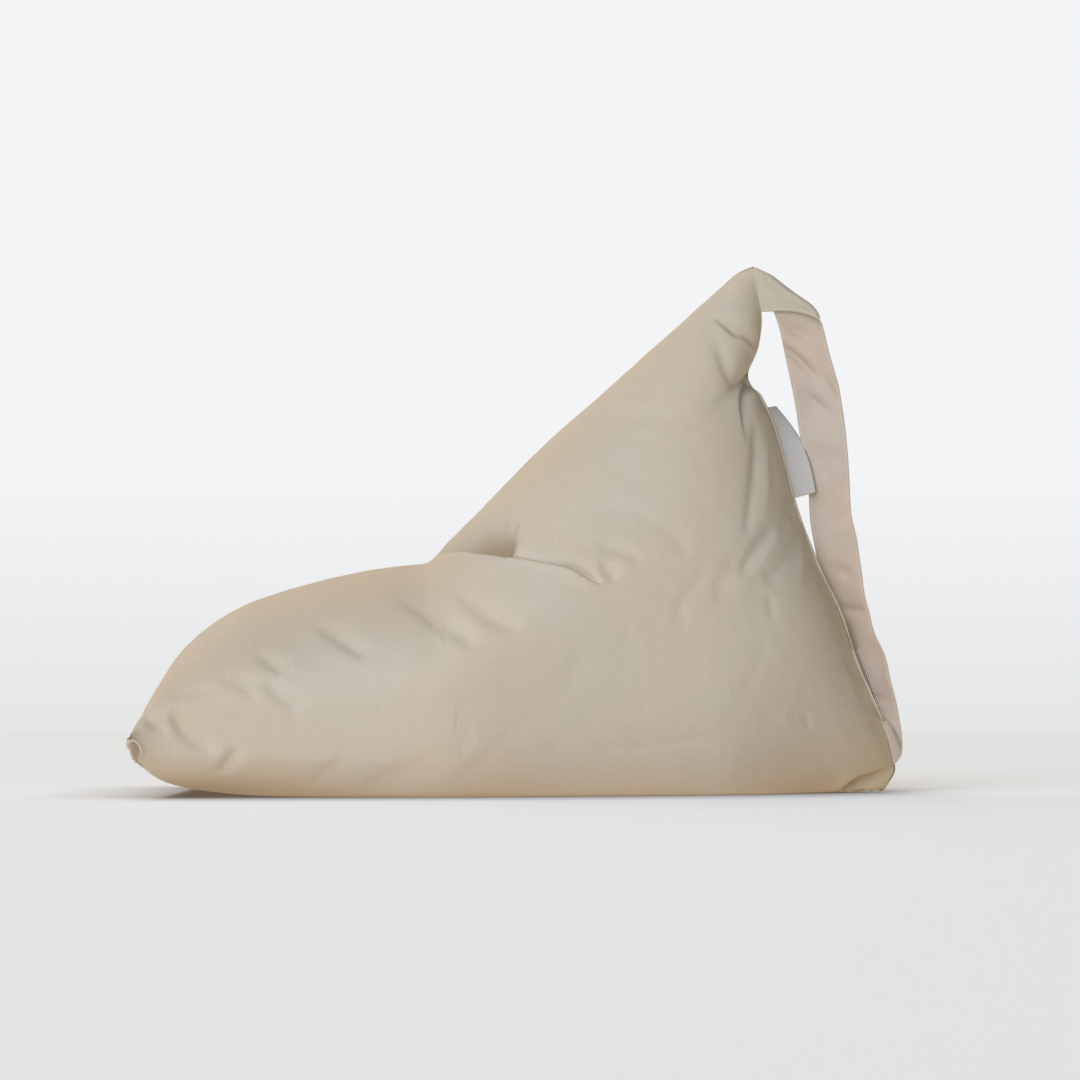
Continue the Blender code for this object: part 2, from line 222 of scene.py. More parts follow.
# Folds of the cover, with their lengths in millimetres. Each runs through its knots, seen from the side.
# On its left, going along it, the cloth sinks by depth and on its right it rises by lip times the depth,
# across a step as wide as edge, and lean draws the lip over the sunk side. A fold with no edge is a soft
# trough, and one with a negative depth a ridge. spread is how far a fold reaches to each side, and wide
# how many times farther it reaches on its left. side is -1 on the near side.
FOLD_COLUMNS = ("name", "side", "edge", "lip", "lean", "wide", "knots")
KNOT_COLUMNS = ("x", "z", "depth", "spread")
FOLDS = (
    ("seat pocket", -1, 3.5, 0.06, 0, 1, (
        (385, 321, 0, 16), (395, 323, 10, 26), (407, 324, 27, 34), (421, 324, 44, 40), (438, 321, 56, 43),
        (455, 318, 61, 42), (471, 316, 57, 38), (479, 315, 46, 32), (485, 314, 26, 26),
        (490, 313, 10, 20), (494, 313, 0, 16),
    )),
    ("seat line", -1, 3.5, 0.25, 2.5, 1, (
        (487, 314, 0, 7), (496, 312, 4, 7), (504, 311, 4, 7), (521, 307, 4, 8), (541, 303, 5, 9),
        (557, 299, 7, 10), (573, 293, 10, 12), (588, 284, 10, 11), (599, 279, 6, 8), (605, 277, 0, 6),
    )),
    ("lap trough high", -1, 0, 0, 0, 2, (
        (383, 293, 0, 10), (396, 280, 3.08, 10), (410, 272, 3.85, 10), (422, 268, 2.31, 10),
        (431, 264, 0, 10),
    )),
    ("lap trough right", -1, 0, 0, 0, 2.2, (
        (422, 265, 0, 9.6), (431, 257, 2.8, 9.6), (443, 245, 3.5, 9.6), (462, 232, 4.2, 9),
        (480, 223, 4.2, 8.4), (492, 219, 2.8, 8.4), (501, 215, 0, 8.4),
    )),
    ("lap trough left", -1, 0, 0, 0, 2.2, (
        (337, 280, 0, 11.5), (350, 260, 2.1, 11.5), (361, 249, 4.2, 10.3), (378, 239, 4.9, 10.3),
        (394, 227, 4.9, 10.3), (409, 219, 4.9, 9.2), (427, 208, 4.2, 8), (437, 200, 2.8, 8),
        (445, 194, 0, 8),
    )),
    ("thigh trough", -1, 0, 0, 0, 2.2, (
        (230, 231, 0, 9.2), (248, 219, 2.8, 9.2), (264, 208, 4.2, 9.2), (279, 197, 4.55, 8),
        (292, 189, 4.2, 6.9), (304, 181, 0, 6.9),
    )),
    ("nose trough a", -1, 0, 0, 0, 2.2, (
        (162, 189, 0, 7.2), (170, 180, 2.8, 7.2), (180, 172, 3.5, 7.2), (192, 165, 2.1, 7.2),
        (202, 160, 0, 7.2),
    )),
    ("nose trough b", -1, 0, 0, 0, 2.2, (
        (169, 154, 0, 7.2), (177, 145, 2.8, 7.2), (187, 133, 3.5, 7.2), (201, 123, 3.5, 7.2),
        (210, 116, 2.8, 7.2), (218, 110, 0, 7.2),
    )),
    ("nose trough c", -1, 0, 0, 0, 1.8, (
        (114, 158, 0, 8.8), (128, 152, 1.75, 8.8), (145, 145, 2.8, 8.8), (156, 134, 2.1, 8.8),
        (164, 127, 0, 8.8),
    )),
    ("nose trough d", -1, 0, 0, 0, 1, (
        (48, 133, 0, 7.8), (64, 134, 1.4, 7.8), (88, 137, 1.4, 7.8), (113, 145, 0, 7.8),
    )),
    ("toe trough a", -1, 0, 0, 0, 2, (
        (52, 114, 0, 6.5), (58, 105, 3.85, 7.2), (67, 88, 5.39, 7.8), (81, 75, 5.39, 7.8),
        (94, 67, 4.62, 7.2), (105, 61, 2.31, 6.5), (112, 57, 0, 6.5),
    )),
    ("toe trough b", -1, 0, 0, 0, 1.5, (
        (18, 105, 0, 5.2), (26, 100, 2.7, 5.9), (35, 93, 3.47, 5.9), (43, 87, 2.31, 5.2),
        (50, 82, 0, 5.2),
    )),
    ("toe trough c", -1, 0, 0, 0, 1.5, (
        (141, 67, 0, 7), (136, 61, 3.15, 7), (129, 52, 4.41, 7), (123, 44, 4.1, 7), (116, 36, 3.15, 7),
        (109, 30, 0, 7),
    )),
    ("floor wave a", -1, 0, 0, 0, 1.6, (
        (275, 56, 0, 9), (268, 49, 1.47, 9), (260, 41, 1.96, 9), (250, 32, 1.96, 9), (240, 23, 1.47, 9),
        (232, 16, 0, 9),
    )),
    ("floor wave b", -1, 0, 0, 0, 1.6, (
        (432, 67, 0, 12), (418, 61, 1.57, 12), (399, 53, 1.79, 13.5), (379, 46, 2.02, 13.5),
        (360, 40, 2.24, 13.5), (340, 32, 2.24, 12), (321, 24, 2.02, 10.5), (305, 16, 1.34, 9),
        (294, 12, 0, 9),
    )),
    ("floor wave c", -1, 0, 0, 0, 1.6, (
        (445, 84, 0, 9), (435, 80, 1.23, 9), (422, 75, 0.98, 9), (411, 68, 0, 9),
    )),
    ("floor wave d", -1, 0, 0, 0, 1.6, (
        (502, 88, 0, 13.5), (492, 78, 1.34, 13.5), (476, 67, 1.79, 13.5), (459, 51, 2.02, 13.5),
        (440, 40, 1.79, 12), (427, 29, 1.79, 10.5), (414, 20, 0, 10.5),
    )),
    ("floor wave e", -1, 0, 0, 0, 1, (
        (561, 69, 0, 12), (547, 64, 1.23, 12), (528, 59, 1.23, 12), (508, 58, 0.98, 12), (489, 59, 0, 12),
    )),
    ("belly trough", -1, 0, 0, 0, 1, (
        (585, 189, 0, 11.2), (580, 179, 1.47, 11.2), (572, 163, 1.96, 11.2), (564, 150, 1.47, 11.2),
        (549, 139, 0.98, 14.4), (531, 123, 0.73, 16), (515, 111, 0, 16),
    )),
    ("low line", -1, 0, 0, 0, 1, (
        (601, 62, 0, 6.8), (622, 64, 0.83, 6.8), (659, 63, 1.13, 6.8), (685, 67, 0.88, 6.8),
        (712, 71, 1.13, 6.8), (739, 76, 0.88, 6.8), (765, 81, 1.13, 6.8), (799, 86, 0.83, 6.8),
        (836, 90, 0, 6.8),
    )),
    ("dent a", -1, 0, 0, 0, 1.6, (
        (604, 332, 0, 6.5), (611, 327, 2.52, 6.5), (624, 324, 3.15, 6.5), (640, 320, 2.83, 6.5),
        (653, 314, 2.2, 7.2), (666, 306, 0, 7.8),
    )),
    ("dent b", -1, 0, 0, 0, 2, (
        (608, 308, 0, 5.6), (612, 302, 3.36, 6.3), (617, 293, 3.92, 7.7), (624, 287, 2.8, 8.4),
        (633, 283, 0, 8.4),
    )),
    ("back arc", -1, 0, 0, 0, 1, (
        (588, 361, 0, 12.8), (604, 370, 1.01, 11.2), (623, 375, 1.44, 11.2), (647, 374, 1.44, 11.2),
        (666, 367, 1.44, 11.2), (683, 357, 1.39, 11.2), (699, 347, 1.64, 11.2), (711, 336, 1.64, 11.2),
        (716, 321, 1.26, 11.2), (718, 308, 0, 11.2),
    )),
    ("side streak a", -1, 0, 0, 0, 1.3, (
        (753, 308, 0, 11.2), (743, 294, 1.57, 9.8), (732, 276, 2.2, 9.8), (720, 263, 2.2, 9.8),
        (712, 250, 2.2, 9.8), (709, 234, 1.57, 9.8), (701, 221, 0, 11.2),
    )),
    ("side streak b", -1, 0, 0, 0, 1.3, (
        (793, 325, 0, 11.2), (784, 307, 1.57, 11.2), (774, 289, 1.89, 11.2), (764, 269, 2.2, 11.2),
        (758, 255, 0, 11.2),
    )),
    ("side spot", -1, 0, 0, 0, 1, (
        (831, 269, 0, 7), (832, 259, 1.68, 7), (835, 245, 1.68, 7), (836, 229, 0, 7),
    )),
    ("side streak c", -1, 0, 0, 0, 1, (
        (831, 216, 0, 9.6), (826, 199, 0.84, 9.6), (819, 176, 0.84, 9.6), (806, 152, 1.23, 9.6),
        (794, 137, 0, 9.6),
    )),
    ("peak crease", -1, 11, 0.05, 0, 2.4, (
        (762, 644, 0, 8), (770, 635, 4, 9), (779, 627, 6.5, 10), (789, 618, 7, 10), (800, 615, 6, 10),
        (810, 610, 5, 8), (816, 603, 2, 7), (817, 596, 0, 6),
    )),
    ("peak patch", -1, 0, 0, 0, 1.3, (
        (763, 617, 0, 9.1), (769, 604, 2.4, 10.4), (774, 588, 3.6, 10.4), (778, 570, 4.2, 10.4),
        (785, 556, 3.6, 9.1), (795, 550, 1.8, 7.8), (803, 553, 0, 6.5),
    )),
    ("notch crease", -1, 9, 0.15, 1, 1, (
        (809, 563, 0, 8), (803, 551, 7, 13), (798, 538, 10, 17), (796, 523, 9, 18), (798, 507, 5, 15),
        (800, 487, 2, 12), (802, 471, 0, 10),
    )),
    ("shoulder drape", -1, 0, 0, 0, 1, (
        (819, 503, 0, 9), (820, 482, 3, 10), (819, 454, 5, 11), (815, 422, 5, 11), (811, 392, 4, 10),
        (806, 365, 3, 9), (803, 338, 0, 8),
    )),
    ("shoulder ridge", -1, 0, 0, 0, 1, (
        (833, 490, 0, 6), (834, 465, -1.5, 7), (834, 434, -2.2, 8), (833, 407, -2.2, 9),
        (829, 382, -1.5, 9), (823, 366, 0, 8),
    )),
    ("sweep drape", -1, 0, 0, 0, 1.4, (
        (846, 492, 0, 7.8), (854, 472, 1.95, 9.1), (860, 447, 3.25, 10.4), (866, 424, 3.9, 11.7),
        (869, 401, 3.9, 13), (862, 379, 4.55, 13), (850, 361, 5.2, 13), (835, 347, 5.2, 13),
        (821, 332, 5.2, 11.7), (810, 316, 4.88, 10.4), (801, 301, 3.9, 9.1), (794, 286, 0, 7.8),
    )),
    ("sweep ridge", -1, 0, 0, 0, 1, (
        (863, 385, 0, 7.2), (854, 367, -2, 8.4), (846, 346, -2.8, 8.4), (832, 323, -2.8, 8.4),
        (814, 303, -2.4, 9.6), (796, 282, -1.6, 10.8), (777, 269, 0, 10.8),
    )),
    ("low drape", -1, 0, 0, 0, 1.4, (
        (877, 369, 0, 7.8), (875, 348, 1.95, 9.1), (868, 330, 2.93, 10.4), (857, 313, 3.58, 9.1),
        (843, 299, 3.58, 7.8), (831, 291, 2.6, 7.8), (822, 285, 0, 7.8),
    )),
    ("low ridge", -1, 0, 0, 0, 1, (
        (883, 328, 0, 7.2), (881, 311, -2, 7.2), (875, 289, -2, 7.2), (870, 273, 0, 7.2),
    )),
    ("back line", -1, 0, 0, 0, 1, (
        (595, 504, 0, 11.2), (622, 503, 0.84, 11.2), (661, 504, 1.12, 11.2), (701, 504, 0.9, 11.2),
        (728, 506, 0, 11.2),
    )),
    ("hip bump", -1, 0, 0, 0, 1, (
        (843, 95, 0, 6), (854, 103, -1.54, 7.2), (868, 111, 0, 6),
    )),
    ("hip dent", -1, 0, 0, 0, 1, (
        (876, 107, 0, 6), (885, 96, 2.55, 6), (893, 84, 0, 6),
    )),
    ("foot crease", -1, 5, 0.2, 0, 1, (
        (995, 33, 0, 12), (981, 26, 6, 18), (964, 22, 12, 22), (951, 16, 16, 22), (940, 7, 12, 20),
        (930, 1, 6, 16), (919, 0, 0, 12),
    )),
    ("far seat crease", 1, 6.5, 0.35, -5, 1, (
        (612, 262, 0, 10), (590, 270, 6, 12), (540, 290, 8, 14), (480, 308, 10, 18), (440, 318, 8, 18),
        (415, 322, 3, 14), (400, 323, 0, 12),
    )),
    ("far lap trough", 1, 0, 0, 0, 1.5, (
        (320, 272, 0, 13), (360, 240, 4.67, 13), (400, 214, 5.15, 13), (440, 184, 0, 13),
    )),
    ("far lap trough b", 1, 0, 0, 0, 1.5, (
        (400, 290, 0, 11.7), (432, 262, 4.67, 11.7), (470, 232, 4.67, 10.4), (500, 212, 0, 10.4),
    )),
    ("far toe trough", 1, 0, 0, 0, 1.5, (
        (50, 150, 0, 7.8), (70, 128, 4.67, 8.5), (100, 96, 5.61, 9.1), (130, 72, 0, 9.1),
    )),
    ("far toe trough b", 1, 0, 0, 0, 1.5, (
        (160, 80, 0, 7.8), (145, 58, 4.67, 7.8), (125, 34, 4.67, 7.8), (110, 18, 0, 9.1),
    )),
    ("far nose trough", 1, 0, 0, 0, 1.5, (
        (210, 180, 0, 10.4), (240, 150, 4.67, 9.1), (275, 112, 0, 11.7),
    )),
    ("far floor wave", 1, 0, 0, 0, 1.5, (
        (420, 80, 0, 11.7), (380, 50, 3.74, 11.7), (330, 22, 3.74, 10.4), (300, 6, 0, 10.4),
    )),
    ("far belly trough", 1, 0, 0, 0, 1.5, (
        (520, 210, 0, 15.6), (580, 180, 3.74, 13), (650, 140, 0, 15.6),
    )),
    ("far dent", 1, 0, 0, 0, 1.5, (
        (625, 300, 0, 7.8), (650, 292, 4.22, 7.8), (690, 272, 0, 10.4),
    )),
    ("far notch crease", 1, 7, 0.3, -4, 1, (
        (803, 480, 0, 12), (799, 510, 8, 14), (800, 540, 12, 16), (808, 564, 9, 14), (812, 582, 0, 10),
    )),
    ("far drape", 1, 0, 0, 0, 1.5, (
        (832, 510, 0, 9.1), (848, 460, 5.61, 11.7), (842, 400, 6.54, 11.7), (812, 350, 5.61, 11.7),
        (790, 320, 0, 11.7),
    )),
    ("far drape b", 1, 0, 0, 0, 1.5, (
        (806, 470, 0, 10.4), (812, 430, 4.67, 11.7), (806, 390, 0, 11.7),
    )),
    ("far low trough", 1, 0, 0, 0, 1.5, (
        (880, 210, 0, 11.7), (860, 160, 3.74, 13), (830, 100, 0, 15.6),
    )),
)

# The strap's edges, from the diagonal fold down to the seam's foot, as in the solids
STRAP_HEAD_SPAN = (0.998, 0.914)
STRAP_FOOT_SPAN = (0.135, 0.052)
STRAP_FOLD_TOP = (0.8210, 0.7135)
STRAP_FOLD_LOW = (0.9070, 0.6430)
EDGE_COLUMNS = ("left_x", "left_z", "right_x", "right_z", "left_y", "right_y")
STRAP_EDGES = (
    (0.8534, 0.6346, 0.9112, 0.6410, 0.008, 0.008),
    (0.8629, 0.5917, 0.9222, 0.5986, 0.012, 0.006),
    (0.8752, 0.5333, 0.9362, 0.5441, 0.014, 0.004),
    (0.8833, 0.4789, 0.9448, 0.4857, 0.012, 0.006),
    (0.8928, 0.4353, 0.9486, 0.4408, 0.012, 0.008),
    (0.8956, 0.3769, 0.9513, 0.3837, 0.016, 0.006),
    (0.9024, 0.3361, 0.9595, 0.3429, 0.018, 0.006),
    (0.9112, 0.2953, 0.9649, 0.3021, 0.027, 0.006),
    (0.9204, 0.2545, 0.9717, 0.2613, 0.037, 0.006),
    (0.9340, 0.2069, 0.9826, 0.2177, 0.043, 0.006),
    (0.9513, 0.1593, 1.0003, 0.1688, 0.042, 0.006),
    (0.9663, 0.1253, 1.0112, 0.1280, 0.036, 0.008),
    (0.9805, 0.1060, 1.0180, 0.0926, 0.024, 0.012),
    (0.9935, 0.1010, 1.0210, 0.0681, 0.012, 0.011),
    (0.9990, 0.0985, 1.0185, 0.0500, 0.004, 0.004),
)

# Soft dents of the strap: the middle of each, how it leans (degrees from upright), its half length and
# half width, and its depth
DENT_COLUMNS = ("x", "z", "lean", "half_length", "half_width", "depth")
STRAP_DENTS = (
    (0.8780, 0.6280, 60, 0.022, 0.008, 0.0060),
    (0.8680, 0.6000, 52, 0.020, 0.006, 0.0060),
    (0.8900, 0.5800, 45, 0.026, 0.006, 0.0064),
    (0.9050, 0.5300, 50, 0.024, 0.007, 0.0056),
    (0.9290, 0.5540, 32, 0.018, 0.005, 0.0046),
    (0.9180, 0.4600, 60, 0.024, 0.010, 0.0030),
    (0.9300, 0.3700, -55, 0.020, 0.009, 0.0030),
    (0.9400, 0.3000, 62, 0.016, 0.008, 0.0036),
    (0.9520, 0.2480, 80, 0.020, 0.007, 0.0036),
    (0.9750, 0.1300, 80, 0.020, 0.006, 0.0040),
)

# The rolled edge at each toe corner: points along it on the near side as x, y and z, and its radius
LIP_ROWS = 40
LIP_AROUND = 12
LIP_POINTS = (
    (0.0176, -0.3500, 0.0520, 0.0008),
    (0.0186, -0.3555, 0.0605, 0.0016),
    (0.0160, -0.3605, 0.0695, 0.0019),
    (0.0090, -0.3655, 0.0752, 0.0021),
    (0.0035, -0.3680, 0.0738, 0.0021),
    (0.0012, -0.3665, 0.0695, 0.0018),
    (0.0022, -0.3615, 0.0640, 0.0008),
)

# The end of the thread that closes the back seam: a line on the strap as x and z, its second strand
# beside it, its cross, and how it is laid on the strap
THREAD_LINE = (
    (0.9630, 0.1930),
    (0.9710, 0.1730),
    (0.9815, 0.1460),
    (0.9905, 0.1180),
    (0.9955, 0.1000),
)
THREAD_STRAND_GAP = (-0.0022, -0.0008)
CROSS_REACH = 0.0022
THREAD_STEP = 0.002
THREAD_LIFT = 0.001

# The tag: the stretch of the seam it is caught in, and its free corners as x, y and z
TAG_SPAN = (0.731, 0.558)
TAG_TUCK = 0.004
TAG_FREE_TOP = (0.8507, 0.0220, 0.5265)
TAG_FREE_LOW = (0.9040, 0.0040, 0.4081)
TAG_BOW = (0.0100, -0.0040, 0.0040)

# The floor with its painted contact shadow, the glow under it and the round backdrop
STAGE_STEPS = 96
FLOOR_MIDDLE = 2.0
FLOOR_RADIUS = 7.2
CONTACT_SHADE_REACH = 0.20
CONTACT_SHADE_RISE = 1.5
CONTACT_SHADE_START = 0.48
BOUNCE_DEPTH = 0.004
BOUNCE_SHAPE = (1.7, 2.4)
BOUNCE_FADE = 0.5
BACKDROP_RADIUS = 11.0
BACKDROP_HEIGHT = 7.0
BACKDROP_OVERLAP = 0.05
BACKDROP_ROWS = 24
BACKDROP_FADE = 1.2

# The soft lights: a cool one from the front, and warm ones from the upper left and from behind. Azimuth
# 0 is behind the camera and 90 is on its right. Then come its elevation, strength, width and colour.
LIGHTS = (
    ("front_light", -16, 16, 0.71, 45, (0.66, 0.78, 0.98)),
    ("left_light", -38, 52, 0.36, 45, (1.00, 0.88, 0.72)),
    ("back_light", 200, 40, 0.41, 60, (1.00, 0.83, 0.62)),
)
ROOM_SHADE = (1.0, 0.9, 0.8, 1.0)
ROOM_STRENGTH = 0.02

# The camera: its place, how far it looks up in degrees, and its focal length in the photograph's pixels
CAMERA_PLACE = (0.017, -6.0, 0.1525)
CAMERA_TILT = 1.817
FRAME_PIXELS = 1080
FOCAL_PIXELS = 4412
SENSOR_MM = 36.0


def column(table, names, name):
    """One column of a table, as an array."""
    return np.array([row[names.index(name)] for row in table], float)


def smooth_curve(knots, values, at):
    """Values on a smooth curve through the knots that never overshoots them."""
    weave_shade_and_grain = np.diff(knots)
    rises = np.diff(values) / weave_shade_and_grain
    same_way = rises[:-1] * rises[1:] > 0
    before = np.where(same_way, rises[:-1], 1.0)
    after = np.where(same_way, rises[1:], 1.0)
    weight_before = weave_shade_and_grain[:-1] + 2 * weave_shade_and_grain[1:]
    weight_after = 2 * weave_shade_and_grain[:-1] + weave_shade_and_grain[1:]
    mean = (weight_before + weight_after) / (weight_before / before + weight_after / after)
    slopes = np.concatenate([rises[:1], np.where(same_way, mean, 0.0), rises[-1:]])
    cell = np.clip(np.searchsorted(knots, at, side="right") - 1, 0, len(weave_shade_and_grain) - 1)
    t = (at - knots[cell]) / weave_shade_and_grain[cell]
    return (
        values[cell] * (2 * t**3 - 3 * t**2 + 1)
        + values[cell + 1] * (3 * t**2 - 2 * t**3)
        + slopes[cell] * weave_shade_and_grain[cell] * (t**3 - 2 * t**2 + t)
        + slopes[cell + 1] * weave_shade_and_grain[cell] * (t**3 - t**2)
    )


def curve_through(knots, values, at):
    """Rows of values, such as points, on smooth curves through the knots' rows."""
    return np.stack([smooth_curve(knots, one, at) for one in values.T], axis=1)


def ease(t):
    """0 up to t 0, 1 from t 1, and smooth between."""
    t = np.clip(t, 0.0, 1.0)
    return t * t * (3 - 2 * t)


def unit(vectors):
    """The same directions at a length of 1."""
    return vectors / np.maximum(np.linalg.norm(vectors, axis=-1, keepdims=True), 1e-9)


def lengths(points, axis):
    """How far along the grid of points each one lies, starting from 0."""
    steps = np.linalg.norm(np.diff(points, axis=axis), axis=-1)
    start = np.zeros_like(np.take(steps, [0], axis=axis))
    return np.concatenate([start, np.cumsum(steps, axis=axis)], axis=axis)


def section_value(name, shares):
    """One of the sections' values at any share of the cover's length."""
    knots = column(SECTIONS, SECTION_COLUMNS, "share")
    return smooth_curve(knots, column(SECTIONS, SECTION_COLUMNS, name), shares)


def seam_behind(height_share):
    """How far behind its chord the back seam runs at a share of its height."""
    heights = column(SEAM_LINE, SEAM_COLUMNS, "height_share")
    return smooth_curve(heights, column(SEAM_LINE, SEAM_COLUMNS, "behind"), height_share)


def ring_angles(shares, steps):
    """Angles round each section at steps from 0, its crown, to 1, down the near side and up the far
    one. Towards the back seam they move apart, so that their heights are even along the seam."""
    half_turn = (steps * 2) % 1
    even = math.pi * half_turn
    level = np.arccos(1 - 2 * half_turn)
    mix = SEAM_EVENNESS * ease((shares - SEAM_EVEN_FROM) / (1 - SEAM_EVEN_FROM))[:, None]
    return (1 - mix) * even + mix * level + math.pi * np.floor(steps * 2)


def even_grid():
    """The share of each of the cover's rings, and its even angles."""
    step = np.linspace(0, 1, COVER_RINGS)
    shares = step - RING_CROWDING * np.sin(2 * math.pi * step)
    steps = np.broadcast_to(np.arange(RING_POINTS) / RING_POINTS, (COVER_RINGS, RING_POINTS))
    return shares, ring_angles(shares, steps)


def on_floor(z):
    """Heights with the cloth that would sink below the floor laid flat on it."""
    eased = (z + FLOOR_EASE) ** 2 / (4 * FLOOR_EASE)
    return np.where(z < -FLOOR_EASE, 0.0, np.where(z > FLOOR_EASE, z, eased))


def cover_surface(shares, angles):
    """Points of the cover before its folds, for each section share and each angle round it."""
    share = np.broadcast_to(shares[:, None], angles.shape)
    up = np.cos(angles)
    across = np.sin(angles)
    belly = 1 - (1 - BELLY_SQUARENESS) * ease(-up / BELLY_TURN) * ease((1 - share) / BELLY_FADE)
    height = np.sign(up) * np.abs(up) ** (belly * section_value("toe_edge", share))
    level = 0.5 + 0.5 * height
    spread = np.abs(across) ** (belly * section_value("back_edge", share))
    y = -section_value("half_width", share) * np.sign(across) * spread
    x = section_value("base_x", share) * (1 - level) + section_value("crown_x", share) * level
    z = section_value("base_z", share) * (1 - level) + section_value("crown_z", share) * level
    near_seam = np.clip(1 - (1 - share) / SEAM_LINE_FADE, 0, 1) ** 3
    x = x + near_seam * seam_behind(level)
    x = x - TOE_CORNER_REACH * np.abs(across) ** 3 * (1 - ease(share / CORNER_FADE))
    return np.stack([x, y, on_floor(z)], axis=-1)


def toe_offset():
    """How far the part's own origin lies behind the toe's corners."""
    lowest = cover_surface(*even_grid())[..., 0].min()
    return np.array([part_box("cover")[0].x - lowest, 0, 0])


def grid_normals(points):
    """Outward normals of the cover's grid of rings."""
    along = np.gradient(points, axis=0)
    around = (np.roll(points, -1, axis=1) - np.roll(points, 1, axis=1)) / 2
    return unit(np.cross(around, along))


def surface_normals(points):
    """Normals of an open grid of points."""
    return unit(np.cross(np.gradient(points, axis=0), np.gradient(points, axis=1)))


def fold_in_metres(fold):
    """One row of the table of folds by the names of its columns, in metres."""
    row = dict(zip(FOLD_COLUMNS, fold))
    row["edge"] *= MILLIMETRE
    row["lean"] *= MILLIMETRE
    row["knots"] = [tuple(value * MILLIMETRE for value in knot) for knot in row["knots"]]
    return row


def knots_on_cover(fold, shares, angles, points):
    """A fold's knots as places on the smooth cover: for each, its share, its angle and its point."""
    places = []
    for knot in fold["knots"]:
        aim = np.array(knot[:2])
        away = np.linalg.norm(points[..., [0, 2]] - aim, axis=-1)
        other_side = points[..., 1] * fold["side"] < -0.5 * MILLIMETRE
        i, j = np.unravel_index(np.argmin(away + other_side), away.shape)
        places.append((shares[i], angles[i, j], np.array([aim[0], points[i, j, 1], aim[1]])))
    return places


def crowded_steps(shares, creases):
    """Steps round each ring, closer together where a crease crosses it. At the toe every quarter of
    them ends at a corner, so that the corners' edges are straight."""
    fine = np.linspace(0, 1, 4 * RING_POINTS + 1)
    steps = np.arange(RING_POINTS) / RING_POINTS
    angles = ring_angles(shares, fine[:-1])
    angles = np.concatenate([angles, np.full((len(shares), 1), 2 * math.pi)], axis=1)
    weight = np.ones_like(angles)
    for places in creases:
        line = sorted((share, angle) for share, angle, _ in places)
        line_shares = np.array([share for share, _ in line])
        line_angles = np.array([angle for _, angle in line])
        inside = ease((shares - line_shares[0]) / CREASE_CROWD_ENDS + 1)
        inside = inside * ease((line_shares[-1] - shares) / CREASE_CROWD_ENDS + 1)
        centre = np.interp(shares, line_shares, line_angles)
        away = (angles - centre[:, None]) / CREASE_CROWD_ANGLE
        weight += CREASE_CROWDING * inside[:, None] * np.exp(-(away**2))
    weight *= 1 - UNDERSIDE_THINNING * np.exp(-(((angles - math.pi) / UNDERSIDE_ANGLE) ** 2))
    total = np.cumsum((weight[:, 1:] + weight[:, :-1]) / 2, axis=1)
    total = np.concatenate([np.zeros((len(shares), 1)), total], axis=1)
    total /= total[:, -1:]
    quarters = np.linspace(0, 1, 5)
    at_quarters = total[:, ::RING_POINTS]
    pinned = np.stack([np.interp(run, marks, quarters) for run, marks in zip(total, at_quarters)])
    loose = ease((shares - PINNED_SHARE) / PINNED_FADE)[:, None]
    total = total * loose + pinned * (1 - loose)
    return np.stack([np.interp(steps, run, fine) for run in total])


def fold_shift(points, normals, fold, places):
    """How far a fold moves each point. A soft fold moves it along its normal, and a crease more level."""
    knots = np.array([place[2] for place in places])
    runs = lengths(knots, 0)
    at = np.linspace(0, runs[-1], FOLD_LINE_POINTS)
    line = curve_through(runs, knots, at)
    tangent = unit(np.gradient(line, axis=0))
    depth = smooth_curve(runs, column(fold["knots"], KNOT_COLUMNS, "depth"), at)
    spread = smooth_curve(runs, column(fold["knots"], KNOT_COLUMNS, "spread"), at)
    edge = fold["edge"]
    reach = 3 * spread.max() * fold["wide"] + edge
    shift = np.zeros(points.shape)
    near = ((points > line.min(0) - reach) & (points < line.max(0) + reach)).all(axis=-1)
    place = points[near]
    if not len(place):
        return shift
    away = ((place[:, None, :] - line[None]) ** 2).sum(-1)
    nearest = away.argmin(1)
    offset = place - line[nearest]
    ahead = at[nearest] + (offset * tangent[nearest]).sum(1)
    normal = normals[near]
    left = unit(np.cross(normal, tangent[nearest]))
    over = (offset * left).sum(1)
    here_depth = np.interp(ahead, at, depth, left=0, right=0)
    here_spread = np.interp(ahead, at, spread) * np.where(over > 0, fold["wide"], 1.0)
    hill = np.exp(-((over / here_spread) ** 2))
    if edge:
        level = unit(normal * (CREASE_TURN, 1.0, CREASE_TURN))
        sunk = ease(over / edge + 0.5)
        out = here_depth * hill * (fold["lip"] * (1 - sunk) - sunk)
        grip = np.exp(-(((over + LIP_PLACE * edge) / (LIP_REACH * edge)) ** 2))
        strength = np.minimum(here_depth / FULL_LEAN_DEPTH, 1)
        pushed = level * out[:, None] + left * (fold["lean"] * strength * grip)[:, None]
        shift[near] = pushed * ease(place[:, 2:] / CREASE_FLOOR_FADE)
    else:
        banks = np.exp(-(((np.abs(over) - BANK_PLACE * here_spread) / here_spread) ** 2))
        out = here_depth * (fold["lip"] * banks - hill) * ease(place[:, 2] / SOFT_FLOOR_FADE)
        shift[near] = normal * out[:, None]
    return shift


def soft_waves(points, height, shortest, longest, seed):
    """Smooth random hills: a sum of waves in random directions, between two wavelengths."""
    draw = np.random.default_rng(seed)
    total = np.zeros(points.shape[:-1])
    for _ in range(CLOTH_WAVE_COUNT):
        direction = draw.normal(size=3)
        direction /= np.linalg.norm(direction)
        wavelength = shortest * (longest / shortest) ** draw.random()
        total += np.sin(2 * math.pi * (points @ direction) / wavelength + 2 * math.pi * draw.random())
    return height * total / math.sqrt(CLOTH_WAVE_COUNT / 2)


